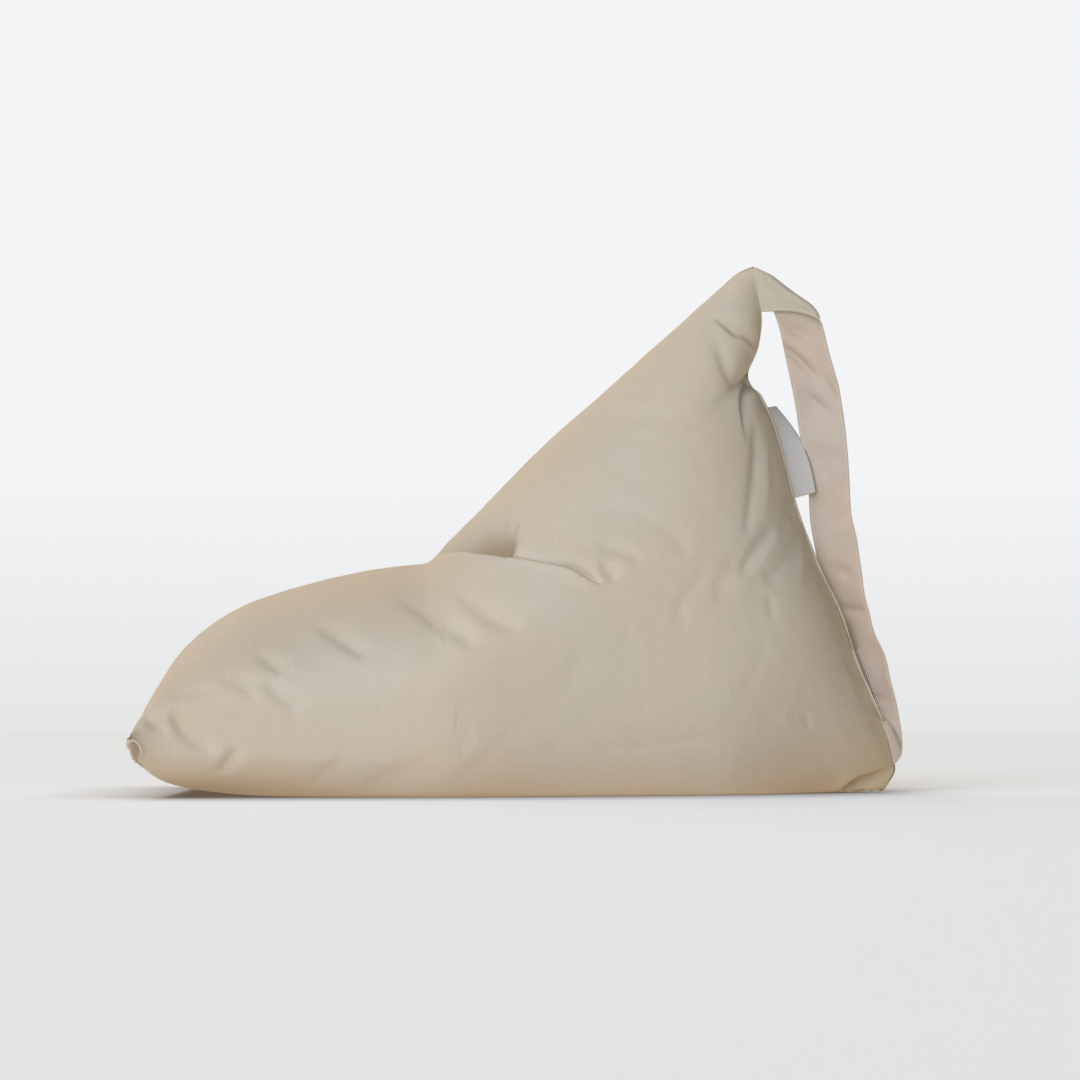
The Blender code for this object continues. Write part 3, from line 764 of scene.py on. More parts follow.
def seam_waves(place, height, shortest, longest, seed):
    """Random waves along a seam."""
    draw = np.random.default_rng(seed)
    total = np.zeros_like(place)
    for _ in range(SEAM_WAVE_COUNT):
        wavelength = shortest * (longest / shortest) ** draw.random()
        total += np.sin(2 * math.pi * place / wavelength + 2 * math.pi * draw.random())
    return height * total / math.sqrt(SEAM_WAVE_COUNT / 2)


def puckers(smooth):
    """How far the cloth stands out at its two end seams, where the sewing gathers it."""
    y = smooth[..., 1]
    z = smooth[..., 2]
    to_toe = lengths(smooth, 0)
    to_back = to_toe[-1:] - to_toe
    end, fade = TOE_PUCKER_END
    at_toe = seam_waves(y, *TOE_PUCKERS) * np.exp(-to_toe / TOE_PUCKER_REACH) * ease((end - np.abs(y)) / fade)
    end, fade = BACK_PUCKER_END
    at_back = seam_waves(z + np.sign(y) * BACK_PUCKER_SIDES, *BACK_PUCKERS)
    return at_toe + at_back * np.exp(-to_back / BACK_PUCKER_REACH) * ease((end - z) / fade)


def cover_points():
    """The cover's grid of points with all its folds, the smooth grid's places for its weave, and for each
    point a mask of painted shade that grows with how far the folds move it."""
    shares, angles = even_grid()
    smooth = cover_surface(shares, angles)
    folds = [fold_in_metres(fold) for fold in FOLDS]
    places = [knots_on_cover(fold, shares, angles, smooth) for fold in folds]
    creases = [place for fold, place in zip(folds, places) if fold["edge"]]
    angles = ring_angles(shares, crowded_steps(shares, creases))
    smooth = cover_surface(shares, angles)
    normals = grid_normals(smooth)
    shift = sum(fold_shift(smooth, normals, fold, place) for fold, place in zip(folds, places))
    out = sum(soft_waves(smooth, *wave) for wave in COVER_WAVES) + puckers(smooth)
    out = out * ease(smooth[..., 2] / SOFT_FLOOR_FADE)
    at_corner = ease((np.abs(smooth[..., 1]) - TOE_CORNER_Y) / TOE_CORNER_WIDTH)
    at_corner = at_corner * (1 - ease(shares / TOE_CORNER_SHARE))[:, None]
    from_ends = ease(shares / TOE_FOLD_FADE) * ease((1 - shares) / FOLD_FADE)
    fade = from_ends[:, None] * (1 - at_corner)
    points = smooth + (normals * out[..., None] + shift) * fade[..., None]
    points[..., 2] = np.maximum(points[..., 2], 0.0)
    # Painted shade: a mask that darkens the cloth where the folds move it
    hollow = ease(np.linalg.norm(shift, axis=-1) / FULL_FOLD_SHADE_DEPTH)
    return points, smooth, hollow


def grid_uvs(points, closed):
    """Places on the flat cloth, in metres: along the rings' rows and round them."""
    along = lengths(points, 0)
    if closed:
        points = np.concatenate([points, points[:, :1]], axis=1)
        along = np.concatenate([along, along[:, :1]], axis=1)
    return np.stack([along, lengths(points, 1)], axis=-1)


def ring_faces(rings, count):
    """Faces between rings of points."""
    return [
        (i * count + j, (i + 1) * count + j, (i + 1) * count + (j + 1) % count, i * count + (j + 1) % count)
        for i in range(rings - 1)
        for j in range(count)
    ]


def cut_open(rings, count):
    """For each corner of those faces, its place on the cloth, which is cut open between two columns."""
    wide = count + 1
    return [
        row * wide + j + step
        for i in range(rings - 1)
        for j in range(count)
        for row, step in ((i, 0), (i + 1, 0), (i + 1, 1), (i, 1))
    ]


def closing_faces(first, count, steps, mirror, ahead=1):
    """Faces that close a ring from its first point on: at each step, between it, the one ahead of it and
    the points across from them."""
    faces = []
    for j in steps:
        corners = (j % count, (j + ahead) % count, (mirror - j - ahead) % count, (mirror - j) % count)
        faces.append([first + corner for corner in dict.fromkeys(corners)])
    return faces


def turn_outward(mesh):
    """Turns a closed mesh's faces outwards."""
    shape = bmesh.new()
    shape.from_mesh(mesh)
    bmesh.ops.recalc_face_normals(shape, faces=shape.faces)
    shape.to_mesh(mesh)
    shape.free()


def grid_mesh(name, points, faces, uvs, uv_places):
    """A closed mesh from grid points, its faces, and for each corner of a face its place on the cloth.
    Corners past those are hidden in a seam and keep the cloth's first place."""
    mesh = bpy.data.meshes.new(name)
    mesh.from_pydata((points.reshape(-1, 3) + TOE).tolist(), [], faces)
    layer = mesh.uv_layers.new(name="cloth")
    flat = np.zeros((len(mesh.loops), 2), np.float32)
    flat[: len(uv_places)] = uvs.reshape(-1, 2)[uv_places]
    layer.data.foreach_set("uv", flat.ravel())
    turn_outward(mesh)
    return mesh


def add_piece(name, mesh, finish):
    """A named object with its finish and smooth shading."""
    mesh.materials.append(finish)
    mesh.shade_smooth()
    made = bpy.data.objects.new(name, mesh)
    bpy.context.scene.collection.objects.link(made)
    return made


def build_cover(finish):
    """The filled cover, closed along its level toe seam and its upright back seam."""
    points, smooth, hollow = cover_points()
    rings, count = points.shape[:2]
    quarter = count // 4
    half = count // 2
    faces = ring_faces(rings, count)
    faces += closing_faces(0, count, range(-quarter, quarter), half)
    faces += closing_faces((rings - 1) * count, count, range(1, half + 1), 0, ahead=-1)
    mesh = grid_mesh("cover_cloth", points, faces, grid_uvs(smooth, closed=True), cut_open(rings, count))
    # The folds' painted shade is kept on the mesh for its finish
    mesh.attributes.new("hollow", "FLOAT", "POINT").data.foreach_set("value", hollow.ravel())
    return add_piece("cover_cloth", mesh, finish)


def build_toe_lips(finish):
    """The rolled edge of the cloth at both toe corners."""
    knots = np.array(LIP_POINTS)
    runs = lengths(knots[:, :3], 0)
    path = curve_through(runs, knots, np.linspace(0, runs[-1], LIP_ROWS))
    path, radius = path[:, :3], path[:, 3:]
    run = unit(np.gradient(path, axis=0))
    out = unit(np.cross(run, (0.0, 1.0, 0.0)))
    front = np.cross(run, out)
    turns = 2 * math.pi * np.arange(LIP_AROUND) / LIP_AROUND
    rings = [path + radius * (out * math.cos(turn) + front * math.sin(turn)) for turn in turns]
    faces = ring_faces(LIP_ROWS, LIP_AROUND)
    faces += [tuple(range(LIP_AROUND)), tuple(range((LIP_ROWS - 1) * LIP_AROUND, LIP_ROWS * LIP_AROUND))]
    for name, side in (("toe_lip_near", 1), ("toe_lip_far", -1)):
        points = np.stack(rings, axis=1) * (1, side, 1)
        mesh = grid_mesh(name, points, faces, grid_uvs(points, closed=True), cut_open(LIP_ROWS, LIP_AROUND))
        lip = add_piece(name, mesh, finish)
        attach(lip, BODY)


def build_sheet(name, middle, half_thickness, finish):
    """A closed sheet of cloth round a grid of middle points. Its two long edges are rounded."""
    rows, across = middle.shape[:2]
    off_middle = surface_normals(middle) * half_thickness[..., None]
    ring = np.concatenate([middle + off_middle, (middle - off_middle)[:, -2:0:-1]], axis=1)
    flat = grid_uvs(middle, closed=False)
    flat = np.concatenate([flat, flat[:, -2:0:-1]], axis=1)
    count = ring.shape[1]
    faces = ring_faces(rows, count)
    faces += closing_faces(0, count, range(across - 1), 0)
    faces += closing_faces((rows - 1) * count, count, range(1, across), 0, ahead=-1)
    mesh = grid_mesh(name, ring, faces, flat, [corner for face in faces for corner in face])
    return add_piece(name, mesh, finish)


def rounded_profile(width_steps, thickness, widths, rim, groove_at=0.0, groove=0.0):
    """Half the thickness at each point across: round at both edges, with a groove at the stitches."""
    from_edge = np.minimum(width_steps, 1 - width_steps)[None, :] * widths[:, None]
    round_edge = np.sqrt(np.clip(1 - (1 - np.clip(from_edge / rim, 0, 1)) ** 2, 0, 1))
    dent = groove * np.exp(-(((from_edge - groove_at) / GROOVE_WIDTH) ** 2))
    return thickness / 2 * round_edge - dent * (from_edge > 0)


def beside_seam(height_shares, reaches, behind=0.0):
    """Points outside the back seam: at shares of its height, and so far out from it."""
    foot, peak = (
        np.array([section_value(f"{end}_{axis}", np.array([1.0]))[0] for axis in "xz"])
        for end in ("base", "crown")
    )
    heights = np.asarray(height_shares, float)
    line = foot + np.multiply.outer(heights, peak - foot)
    line[:, 0] += seam_behind(heights)
    run = unit(np.gradient(line, axis=0))
    run *= np.sign(run[:, 1:])
    place = line + np.stack([run[:, 1], -run[:, 0]], axis=1) * np.reshape(reaches, (-1, 1))
    return np.stack([place[:, 0], np.broadcast_to(behind, len(place)), place[:, 1]], axis=1)


def band_width(height_shares):
    """How far the band stands out: less towards the peak, and nothing at its ends."""
    width = np.interp(height_shares, (BAND_FOOT, BAND_HEAD), (BAND_FOOT_WIDTH, BAND_TOP_WIDTH))
    ends = ease((height_shares - BAND_FOOT) / BAND_TAPER) * ease((BAND_HEAD - height_shares) / BAND_TAPER)
    return width * ends


def seam_band_points():
    """The middle surface of the stitched band of doubled cloth along the back seam, and its widths."""
    heights = np.linspace(BAND_HEAD, BAND_FOOT, BAND_ROWS)
    widths = band_width(heights)
    sway = seam_waves(heights * BAND_LENGTH, *BAND_WAVES)
    rows = []
    for t in np.linspace(0, 1, BAND_CROSS):
        reach = widths * t - BAND_TUCK * (1 - t)
        rows.append(beside_seam(heights, reach, sway * t))
    return np.stack(rows, axis=1), widths + BAND_TUCK


def at_column(grid, place):
    """A grid's rows of points at a place between its columns, or at many places."""
    place = np.asarray(place, float)
    low = np.clip(place.astype(int), 0, grid.shape[1] - 2)
    part = (place - low)[..., None]
    return grid[:, low] * (1 - part) + grid[:, low + 1] * part


def on_sheet(middle, half_thickness, across_share, side):
    """A line along a sheet, at a share of its width, on its front (1) or its back (-1)."""
    out = middle + surface_normals(middle) * (side * (half_thickness[..., None] + STITCH_LIFT))
    return at_column(out, across_share * (middle.shape[1] - 1))


def strap_points():
    """The strap's middle surface, a row of points across it at a time, from the peak to the foot."""
    across = np.linspace(0, 1, STRAP_CROSS)[:, None]
    head = beside_seam(np.linspace(*STRAP_HEAD_SPAN, STRAP_CROSS), -SEWN_END_TUCK)
    foot = beside_seam(np.linspace(*STRAP_FOOT_SPAN, STRAP_CROSS), -SEWN_END_TUCK)
    fold_top = np.array([STRAP_FOLD_TOP[0], 0.0, STRAP_FOLD_TOP[1]])
    fold_low = np.array([STRAP_FOLD_LOW[0], 0.0, STRAP_FOLD_LOW[1]])
    run = unit(fold_low - fold_top)
    outward = np.array([-run[2], 0.0, run[0]])
    swell = STRAP_FOLD_SWELL * np.sin(math.pi * across**STRAP_FOLD_SWELL_PLACE) * outward
    fold = fold_top * (1 - across) + fold_low * across + swell
    top_share = STRAP_FOLD_TOP_SHARE + (1 - STRAP_FOLD_TOP_SHARE) * ease(across / STRAP_FOLD_END_REACH)
    low_share = 1 - STRAP_FOLD_LOW_SHARE * ease((across - 1) / STRAP_FOLD_END_REACH + 1)
    radius = STRAP_FOLD_RADIUS * top_share * low_share
    rows = []
    for t in np.linspace(0, 1, STRAP_FOLD_ROWS):
        row = head * (1 - t) + fold * t
        row[:, 1] -= radius[:, 0] * ease(t)
        row[:, 2] += STRAP_FOLD_BOW * math.sin(math.pi * t**STRAP_FOLD_BOW_PLACE) * across[:, 0]
        rows.append(row)
    for turn in np.linspace(0, math.pi, STRAP_FOLD_ROWS)[1:-1]:
        rows.append(fold + outward * radius * math.sin(turn) - radius * math.cos(turn) * (0.0, 1.0, 0.0))
    left, right = (
        np.stack([column(STRAP_EDGES, EDGE_COLUMNS, f"{edge}_{axis}") for axis in "xyz"], axis=1)
        for edge in ("left", "right")
    )
    left = np.vstack([fold_top + (0, radius[0, 0], 0), left, foot[0]])
    right = np.vstack([fold_low + (0, radius[-1, 0], 0), right, foot[-1]])
    runs = lengths((left + right) / 2, 0)
    places = np.linspace(0, runs[-1], STRAP_ROWS)
    foot_curve = foot - (foot[0] * (1 - across) + foot[-1] * across)
    for a, b, place in zip(curve_through(runs, left, places), curve_through(runs, right, places), places):
        bend = foot_curve * ease(1 - (runs[-1] - place) / STRAP_END_REACH)
        rows.append(a * (1 - across) + b * across + bend + swell * ease(1 - place / STRAP_END_REACH))
    return np.array(rows)


def strap_dents(middle):
    """How deep the strap's soft dents are at each of its points."""
    total = np.zeros(middle.shape[:2])
    for dent in STRAP_DENTS:
        row = dict(zip(DENT_COLUMNS, dent))
        lean = math.radians(row["lean"])
        away = middle[..., [0, 2]] - (row["x"], row["z"])
        along = away @ (math.sin(lean), -math.cos(lean))
        over = away @ (math.cos(lean), math.sin(lean))
        total += row["depth"] * np.exp(-((along / row["half_length"]) ** 2) - (over / row["half_width"]) ** 2)
    return total


def seam_end_lines(face):
    """The closing thread's two strands and its cross, laid on the strap's near face."""
    strand = np.array(THREAD_LINE)
    end = strand[-1]
    rise = np.array([CROSS_REACH, CROSS_REACH])
    fall = np.array([CROSS_REACH, -CROSS_REACH])
    lines = []
    cross = [np.array([end - reach, end + reach]) for reach in (rise, fall)]
    for stroke in (strand, strand + THREAD_STRAND_GAP, *cross):
        runs = lengths(stroke, 0)
        fine = np.linspace(0, runs[-1], max(8, int(runs[-1] / THREAD_STEP)))
        line = np.stack([np.interp(fine, runs, stroke[:, k]) for k in range(2)], axis=1)
        near = [np.linalg.norm(face[:, [0, 2]] - spot, axis=1).argmin() for spot in line]
        lines.append(np.stack([line[:, 0], face[near, 1] - THREAD_LIFT, line[:, 1]], axis=1))
    return lines


def tag_points():
    """The tag's middle surface, from its sewn side to its free side."""
    heights = np.linspace(*TAG_SPAN, TAG_ROWS)
    behind = BAND_THICKNESS / 2 + PIECE_GAP + TAG_THICKNESS / 2
    sewn = beside_seam(heights, BAND_TOP_WIDTH - TAG_TUCK, behind)
    free = np.linspace(TAG_FREE_TOP, TAG_FREE_LOW, TAG_ROWS)
    free = free + np.sin(math.pi * np.linspace(0, 1, TAG_ROWS))[:, None] * TAG_BOW
    across = np.linspace(0, 1, TAG_CROSS)[None, :, None]
    return sewn[:, None] * (1 - across) + free[:, None] * across


class Value:
    """A shader socket that takes part in sums and products by adding the nodes for them."""

    def __init__(self, socket):
        self.socket = socket

    def maths(self, operation, first, second):
        made = self.socket.id_data.nodes.new("ShaderNodeMath")
        made.operation = operation
        plug(made.inputs[0], first)
        plug(made.inputs[1], second)
        return Value(made.outputs[0])

    def __add__(self, other):
        return self.maths("ADD", self, other)

    def __radd__(self, other):
        return self.maths("ADD", other, self)

    def __sub__(self, other):
        return self.maths("SUBTRACT", self, other)

    def __rsub__(self, other):
        return self.maths("SUBTRACT", other, self)

    def __mul__(self, other):
        return self.maths("MULTIPLY", self, other)

    def __rmul__(self, other):
        return self.maths("MULTIPLY", other, self)

    def __pow__(self, other):
        return self.maths("POWER", self, other)


def plug(place, part):
    """Links a socket to a value, or sets it to a plain number, colour or vector."""
    if isinstance(part, Value):
        place.id_data.links.new(part.socket, place)
    else:
        place.default_value = part


class Finish:
    """A material in the making: a Principled shader and the nodes that feed it."""

    def __init__(self, name):
        self.material = bpy.data.materials.new(name)
        self.material.use_nodes = True
        self.tree = self.material.node_tree
        self.shader = self.tree.nodes["Principled BSDF"]

    def node(self, kind, settings, values, output=0):
        """A node of one kind with its settings, and the values or links of its sockets."""
        made = self.tree.nodes.new("ShaderNode" + kind)
        for name, value in settings.items():
            if name == "stops":
                for stop in value[1:-1]:
                    made.color_ramp.elements.new(stop[0])
                for element, (place, shade) in zip(made.color_ramp.elements, value):
                    element.position = place
                    element.color = shade
            else:
                setattr(made, name, value)
        for name, part in values.items():
            plug(made.inputs[name], part)
        return Value(made.outputs[output])

    def mixed(self, factor, first, second, way="MIX"):
        """Two colours blended by a factor."""
        settings = {"data_type": "RGBA", "blend_type": way}
        return self.node("Mix", settings, {0: factor, 6: first, 7: second}, output=2)

    def ramp(self, stops, value):
        """A colour that runs through the stops as a value grows."""
        return self.node("ValToRGB", {"stops": stops}, {"Fac": value})

    def clamped(self, value):
        return self.node("Clamp", {}, {"Value": value})

    def sine(self, value):
        return self.node("Math", {"operation": "SINE"}, {0: value})

    def noise(self, place, scale, detail=2.0, roughness=0.5):
        """Cloudy values round 0.5."""
        values = {"Vector": place, "Scale": scale, "Detail": detail, "Roughness": roughness}
        return self.node("TexNoise", {}, values)

    def bump(self, surface, strength, height):
        return self.node("Bump", {}, {"Strength": strength, "Distance": height, "Height": surface})

    def object_place(self):
        return self.node("TexCoord", {}, {}, output="Object")

    def cloth_place(self):
        return self.node("UVMap", {"uv_map": "cloth"}, {})

    def axis(self, place, name):
        """One coordinate of a place."""
        return self.node("SeparateXYZ", {}, {0: place}, output=name)

    def glow(self, shade):
        """Makes the material shine in a colour instead of being lit."""
        shine = self.node("Emission", {}, {"Color": shade, "Strength": 1.0})
        plug(self.tree.nodes["Material Output"].inputs["Surface"], shine)
        self.tree.nodes.remove(self.shader)

    def set(self, **values):
        """Sets the shader's sockets, named with _ for a space."""
        for name, part in values.items():
            plug(self.shader.inputs[name.replace("_", " ")], part)


def color(red, green, blue):
    """A linear colour from screen values of 0 to 255."""
    screen = np.array([red, green, blue]) / 255
    low = screen / 12.92
    high = ((screen + 0.055) / 1.055) ** 2.4
    return (*np.where(screen <= 0.04045, low, high).tolist(), 1.0)


# Shades
SAND_SHADES = (color(203, 188, 167), color(202, 189, 170), color(201, 190, 173))
STRAP_SHADES = (color(195, 175, 156), color(194, 176, 159), color(192, 177, 162))
STRAP_FIRST_SIDE = color(188, 177, 157)
# Painted shade: a golden darkening multiplied into the cover along the back seam, at its foot and in its
# folds
PAINTED_SHADE_TINT = (0.86, 0.80, 0.68, 1.0)
# Painted shade in the weave's low places, mixed with random grain
WEAVE_SHADE_AND_GRAIN_TONE = (0.30, 0.25, 0.19, 1.0)
SATIN_SHADES = (color(178, 174, 168), color(190, 186, 180))
CREAM = (0.72, 0.64, 0.50, 1.0)
OFF_WHITE = (0.86, 0.83, 0.78, 1.0)
THREAD_HOLLOWS = (0.75, 0.68, 0.56, 1.0)
# The floor's colours and glows in its painted contact shadow and in the open
FLOOR_PAINTED_SHADOW_AND_OPEN = ((0.26, 0.24, 0.23, 1.0), (0.73, 0.80, 0.89, 1.0))
FLOOR_GLOW_PAINTED_SHADOW_AND_OPEN = ((0.12, 0.10, 0.09, 1.0), (1.0, 1.0, 1.0, 1.0))
BACKDROP_STOPS = ((0.0, color(229, 230, 230)), (1.0, color(243, 244, 246)))
BOUNCE_STOPS = (
    (0.30, (0.74, 0.60, 0.44, 1.0)),
    (0.46, (0.66, 0.54, 0.39, 1.0)),
    (0.62, (0.95, 0.87, 0.77, 1.0)),
    (0.90, (1.00, 0.95, 0.82, 1.0)),
)

# The weaves. A noise is its scale, detail and roughness, and the other scales are waves to a metre.
# Pitches and reliefs are in metres, and the heights say how much of the relief each part makes.
CLOUD_STOPS = (0.36, 0.50, 0.64)
CLOUD_NOISE = (5.5, 3.0, 0.55)
SLUB_NOISE = (380.0, 3.0, 0.6)
GRAIN_NOISE = (170.0, 3.0, 0.7)
TWILL_PITCH = 0.0021
TWILL_LEAN = 0.9
TWILL_DRIFT_SCALE = 90.0
TWILL_DRIFT = 1.6
YARNS_PER_RIB = 1.7
RIB_HEIGHT = 0.35
YARN_HEIGHT = 0.15
TWILL_HEIGHT = 0.45
SLUB_HEIGHT = 0.75
CANVAS_RELIEF = 0.0005
CANVAS_BUMP = 0.35
STRAP_BUMP = 0.30
CANVAS_ROUGHNESS = 0.58
CANVAS_POLISH = 0.06

# Painted shade between the yarns, with random grain: how much shows at most, and less where the cloth stands
# up or by grain
WEAVE_SHADE_MOST = 0.45
WEAVE_SHADE_BY_HEIGHT = 0.30
GRAIN_TONE_SHARE = 0.42

SATIN_RIB_SCALE = 320.0
SATIN_CLOUD_SCALE = 60.0
SATIN_RELIEF = 0.0002
SATIN_BUMP = 0.35
THREAD_SPIN_SCALE = 900.0
STITCH_INPUTS = ("Pitch", "Stitch Length", "Thread Width")

# Painted shade on the cover, golden and darker along the back seam and most at its foot: the back seam's
# foot and its lean, how far the seam's and the foot's painted shade reach, and how much each counts
SEAM_FOOT_X = 0.492
SEAM_LEAN = 0.230
SEAM_SHADE_REACH = 0.058
SEAM_SHADE_AMOUNT = 0.55
FOOT_SHADE_REACH = 0.150
FOOT_SHADE_AMOUNT = 0.75

# Where the strap's cloth turns over, measured along it: how far on at one edge, and how much farther
# for each metre across
FOLD_START = 0.006
FOLD_RUN = 1.33
FOLD_BLEND = 0.008


def twill(finish, place):
    """The raised diagonal lines of a twill, about 0 to 1, a little uneven."""
    along = finish.axis(place, "X")
    around = finish.axis(place, "Y")
    drift = finish.noise(place, TWILL_DRIFT_SCALE) * TWILL_DRIFT
    turn = 2 * math.pi / TWILL_PITCH
    ribs = finish.sine((along + around * TWILL_LEAN) * turn + drift)
    yarns = finish.sine((along * TWILL_LEAN - around) * (turn * YARNS_PER_RIB))
    return ribs * RIB_HEIGHT + yarns * YARN_HEIGHT + 0.5


def painted_seam_shade(finish, place):
    """Where painted shade darkens the cover's cloth: along the back seam, and most at its foot."""
    z = finish.axis(place, "Z")
    inward = SEAM_FOOT_X - z * SEAM_LEAN - finish.axis(place, "X")
    edge = finish.clamped(1.0 - inward * (1 / SEAM_SHADE_REACH))
    low = finish.clamped(1.0 - z * (1 / FOOT_SHADE_REACH))
    foot = finish.clamped(1.0 - inward * (1 / FOOT_SHADE_REACH))
    return edge * SEAM_SHADE_AMOUNT + low * foot * FOOT_SHADE_AMOUNT


def canvas_finish(name, shades, bump, first_side=None, painted_shade=None):
    """Matt woven canvas, slightly uneven in colour, with painted shade in the weave's low places. It can have
    another tone before the strap's fold, and painted shade along the back seam and in the folds' hollows."""
    finish = Finish(name)
    place = finish.object_place()
    cloth = finish.cloth_place()
    shade = finish.ramp(tuple(zip(CLOUD_STOPS, shades)), finish.noise(place, *CLOUD_NOISE))
    if first_side:
        past_fold = finish.axis(cloth, "X") - finish.axis(cloth, "Y") * FOLD_RUN - FOLD_START
        shade = finish.mixed(finish.clamped(past_fold * (1 / FOLD_BLEND)), first_side, shade)
    # Painted shade along the back seam, at its foot and where the folds move the cloth
    if painted_shade:
        hollow = finish.node("Attribute", {"attribute_name": "hollow"}, {}, output="Fac")
        shade = finish.mixed(painted_seam_shade(finish, place), shade, painted_shade, way="MULTIPLY")
        shade = finish.mixed(hollow, shade, painted_shade, way="MULTIPLY")
    slubs = finish.noise(cloth, *SLUB_NOISE)
    grain = finish.noise(cloth, *GRAIN_NOISE)
    surface = twill(finish, cloth) * TWILL_HEIGHT + slubs * SLUB_HEIGHT
    # Painted shade in the weave's low places, varied by random grain
    weave_shade_and_grain = WEAVE_SHADE_MOST - surface * WEAVE_SHADE_BY_HEIGHT - grain * GRAIN_TONE_SHARE
    finish.set(
        Base_Color=finish.mixed(weave_shade_and_grain, shade, WEAVE_SHADE_AND_GRAIN_TONE),
        Roughness=CANVAS_ROUGHNESS - surface * CANVAS_POLISH,
        Normal=finish.bump(surface, bump, CANVAS_RELIEF),
        Specular_IOR_Level=0.25,
    )
    return finish.material


def satin_finish():
    """The tag's woven satin: cool grey with fine ribs."""
    finish = Finish("tag_satin")
    place = finish.cloth_place()
    ribs = finish.node(
        "TexWave",
        {"bands_direction": "X"},
        {"Vector": place, "Scale": SATIN_RIB_SCALE, "Distortion": 0.4},
    )
    shade = finish.mixed(finish.noise(place, SATIN_CLOUD_SCALE), *SATIN_SHADES)
    finish.set(Base_Color=shade, Roughness=0.46, Normal=finish.bump(ribs, SATIN_BUMP, SATIN_RELIEF))
    return finish.material


def thread_finish(name, shade):
    """Sewing thread."""
    finish = Finish(name)
    spin = finish.noise(finish.object_place(), THREAD_SPIN_SCALE)
    finish.set(Base_Color=finish.mixed(spin, shade, THREAD_HOLLOWS), Roughness=0.55)
    return finish.material


def socket_name(tree, name):
    """The identifier of one of a node group's inputs."""
    return next(item.identifier for item in tree.interface.items_tree if item.name == name)


def stitch_tree():
    """Geometry nodes that lay small thread stitches along a line."""
    tree = bpy.data.node_groups.new("stitches", "GeometryNodeTree")
    tree.interface.new_socket("Geometry", in_out="INPUT", socket_type="NodeSocketGeometry")
    for name in STITCH_INPUTS:
        tree.interface.new_socket(name, in_out="INPUT", socket_type="NodeSocketFloat")
    tree.interface.new_socket("Thread", in_out="INPUT", socket_type="NodeSocketMaterial")
    tree.interface.new_socket("Geometry", in_out="OUTPUT", socket_type="NodeSocketGeometry")
    given = tree.nodes.new("NodeGroupInput").outputs

    def node(kind, values, **settings):
        """A node with its settings, and the values or links of its sockets."""
        made = tree.nodes.new(kind)
        for name, value in settings.items():
            setattr(made, name, value)
        for name, value in values.items():
            if isinstance(value, bpy.types.NodeSocket):
                tree.links.new(value, made.inputs[name])
            else:
                made.inputs[name].default_value = value
        return made.outputs[0] if made.outputs else None

    curve = node("GeometryNodeMeshToCurve", {"Mesh": given["Geometry"]})
    spaced = node("GeometryNodeResampleCurve", {"Curve": curve, "Length": given["Pitch"]}, mode="LENGTH")
    tangent = node("GeometryNodeInputTangent", {})
    turn = node("FunctionNodeAlignRotationToVector", {"Vector": tangent}, axis="Z")
    values = {"Segments": STITCH_SEGMENTS, "Rings": STITCH_RINGS, "Radius": 0.5}
    bead = node("GeometryNodeMeshUVSphere", values)
    width = given["Thread Width"]
    size = node("ShaderNodeCombineXYZ", {"X": width, "Y": width, "Z": given["Stitch Length"]})
    values = {"Points": spaced, "Instance": bead, "Rotation": turn, "Scale": size}
    placed = node("GeometryNodeInstanceOnPoints", values)
    real = node("GeometryNodeRealizeInstances", {"Geometry": placed})
    smooth = node("GeometryNodeSetShadeSmooth", {"Geometry": real})
    finished = node("GeometryNodeSetMaterial", {"Geometry": smooth, "Material": given["Thread"]})
    node("NodeGroupOutput", {"Geometry": finished})
    return tree


def sew(name, lines, tree, thread):
    """Rows of stitches along lines of points, as one plain mesh."""
    vertices = []
    edges = []
    for line in lines:
        first = len(vertices)
        vertices += (np.asarray(line) + TOE).tolist()
        edges += [(first + k, first + k + 1) for k in range(len(line) - 1)]
    guide_mesh = bpy.data.meshes.new(name + "_guide")
    guide_mesh.from_pydata(vertices, edges, [])
    guide = bpy.data.objects.new(name + "_guide", guide_mesh)
    bpy.context.scene.collection.objects.link(guide)
    modifier = guide.modifiers.new("stitches", "NODES")
    modifier.node_group = tree
    values = dict(zip(STITCH_INPUTS, STITCH_SIZES[name]), Thread=thread)
    for socket, value in values.items():
        modifier[socket_name(tree, socket)] = value
    bpy.context.view_layer.update()
    evaluated = guide.evaluated_get(bpy.context.evaluated_depsgraph_get())
    mesh = bpy.data.meshes.new_from_object(evaluated)
    bpy.data.objects.remove(guide)
    mesh.name = name
    made = bpy.data.objects.new(name, mesh)
    bpy.context.scene.collection.objects.link(made)
    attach(made, BODY)
    return made


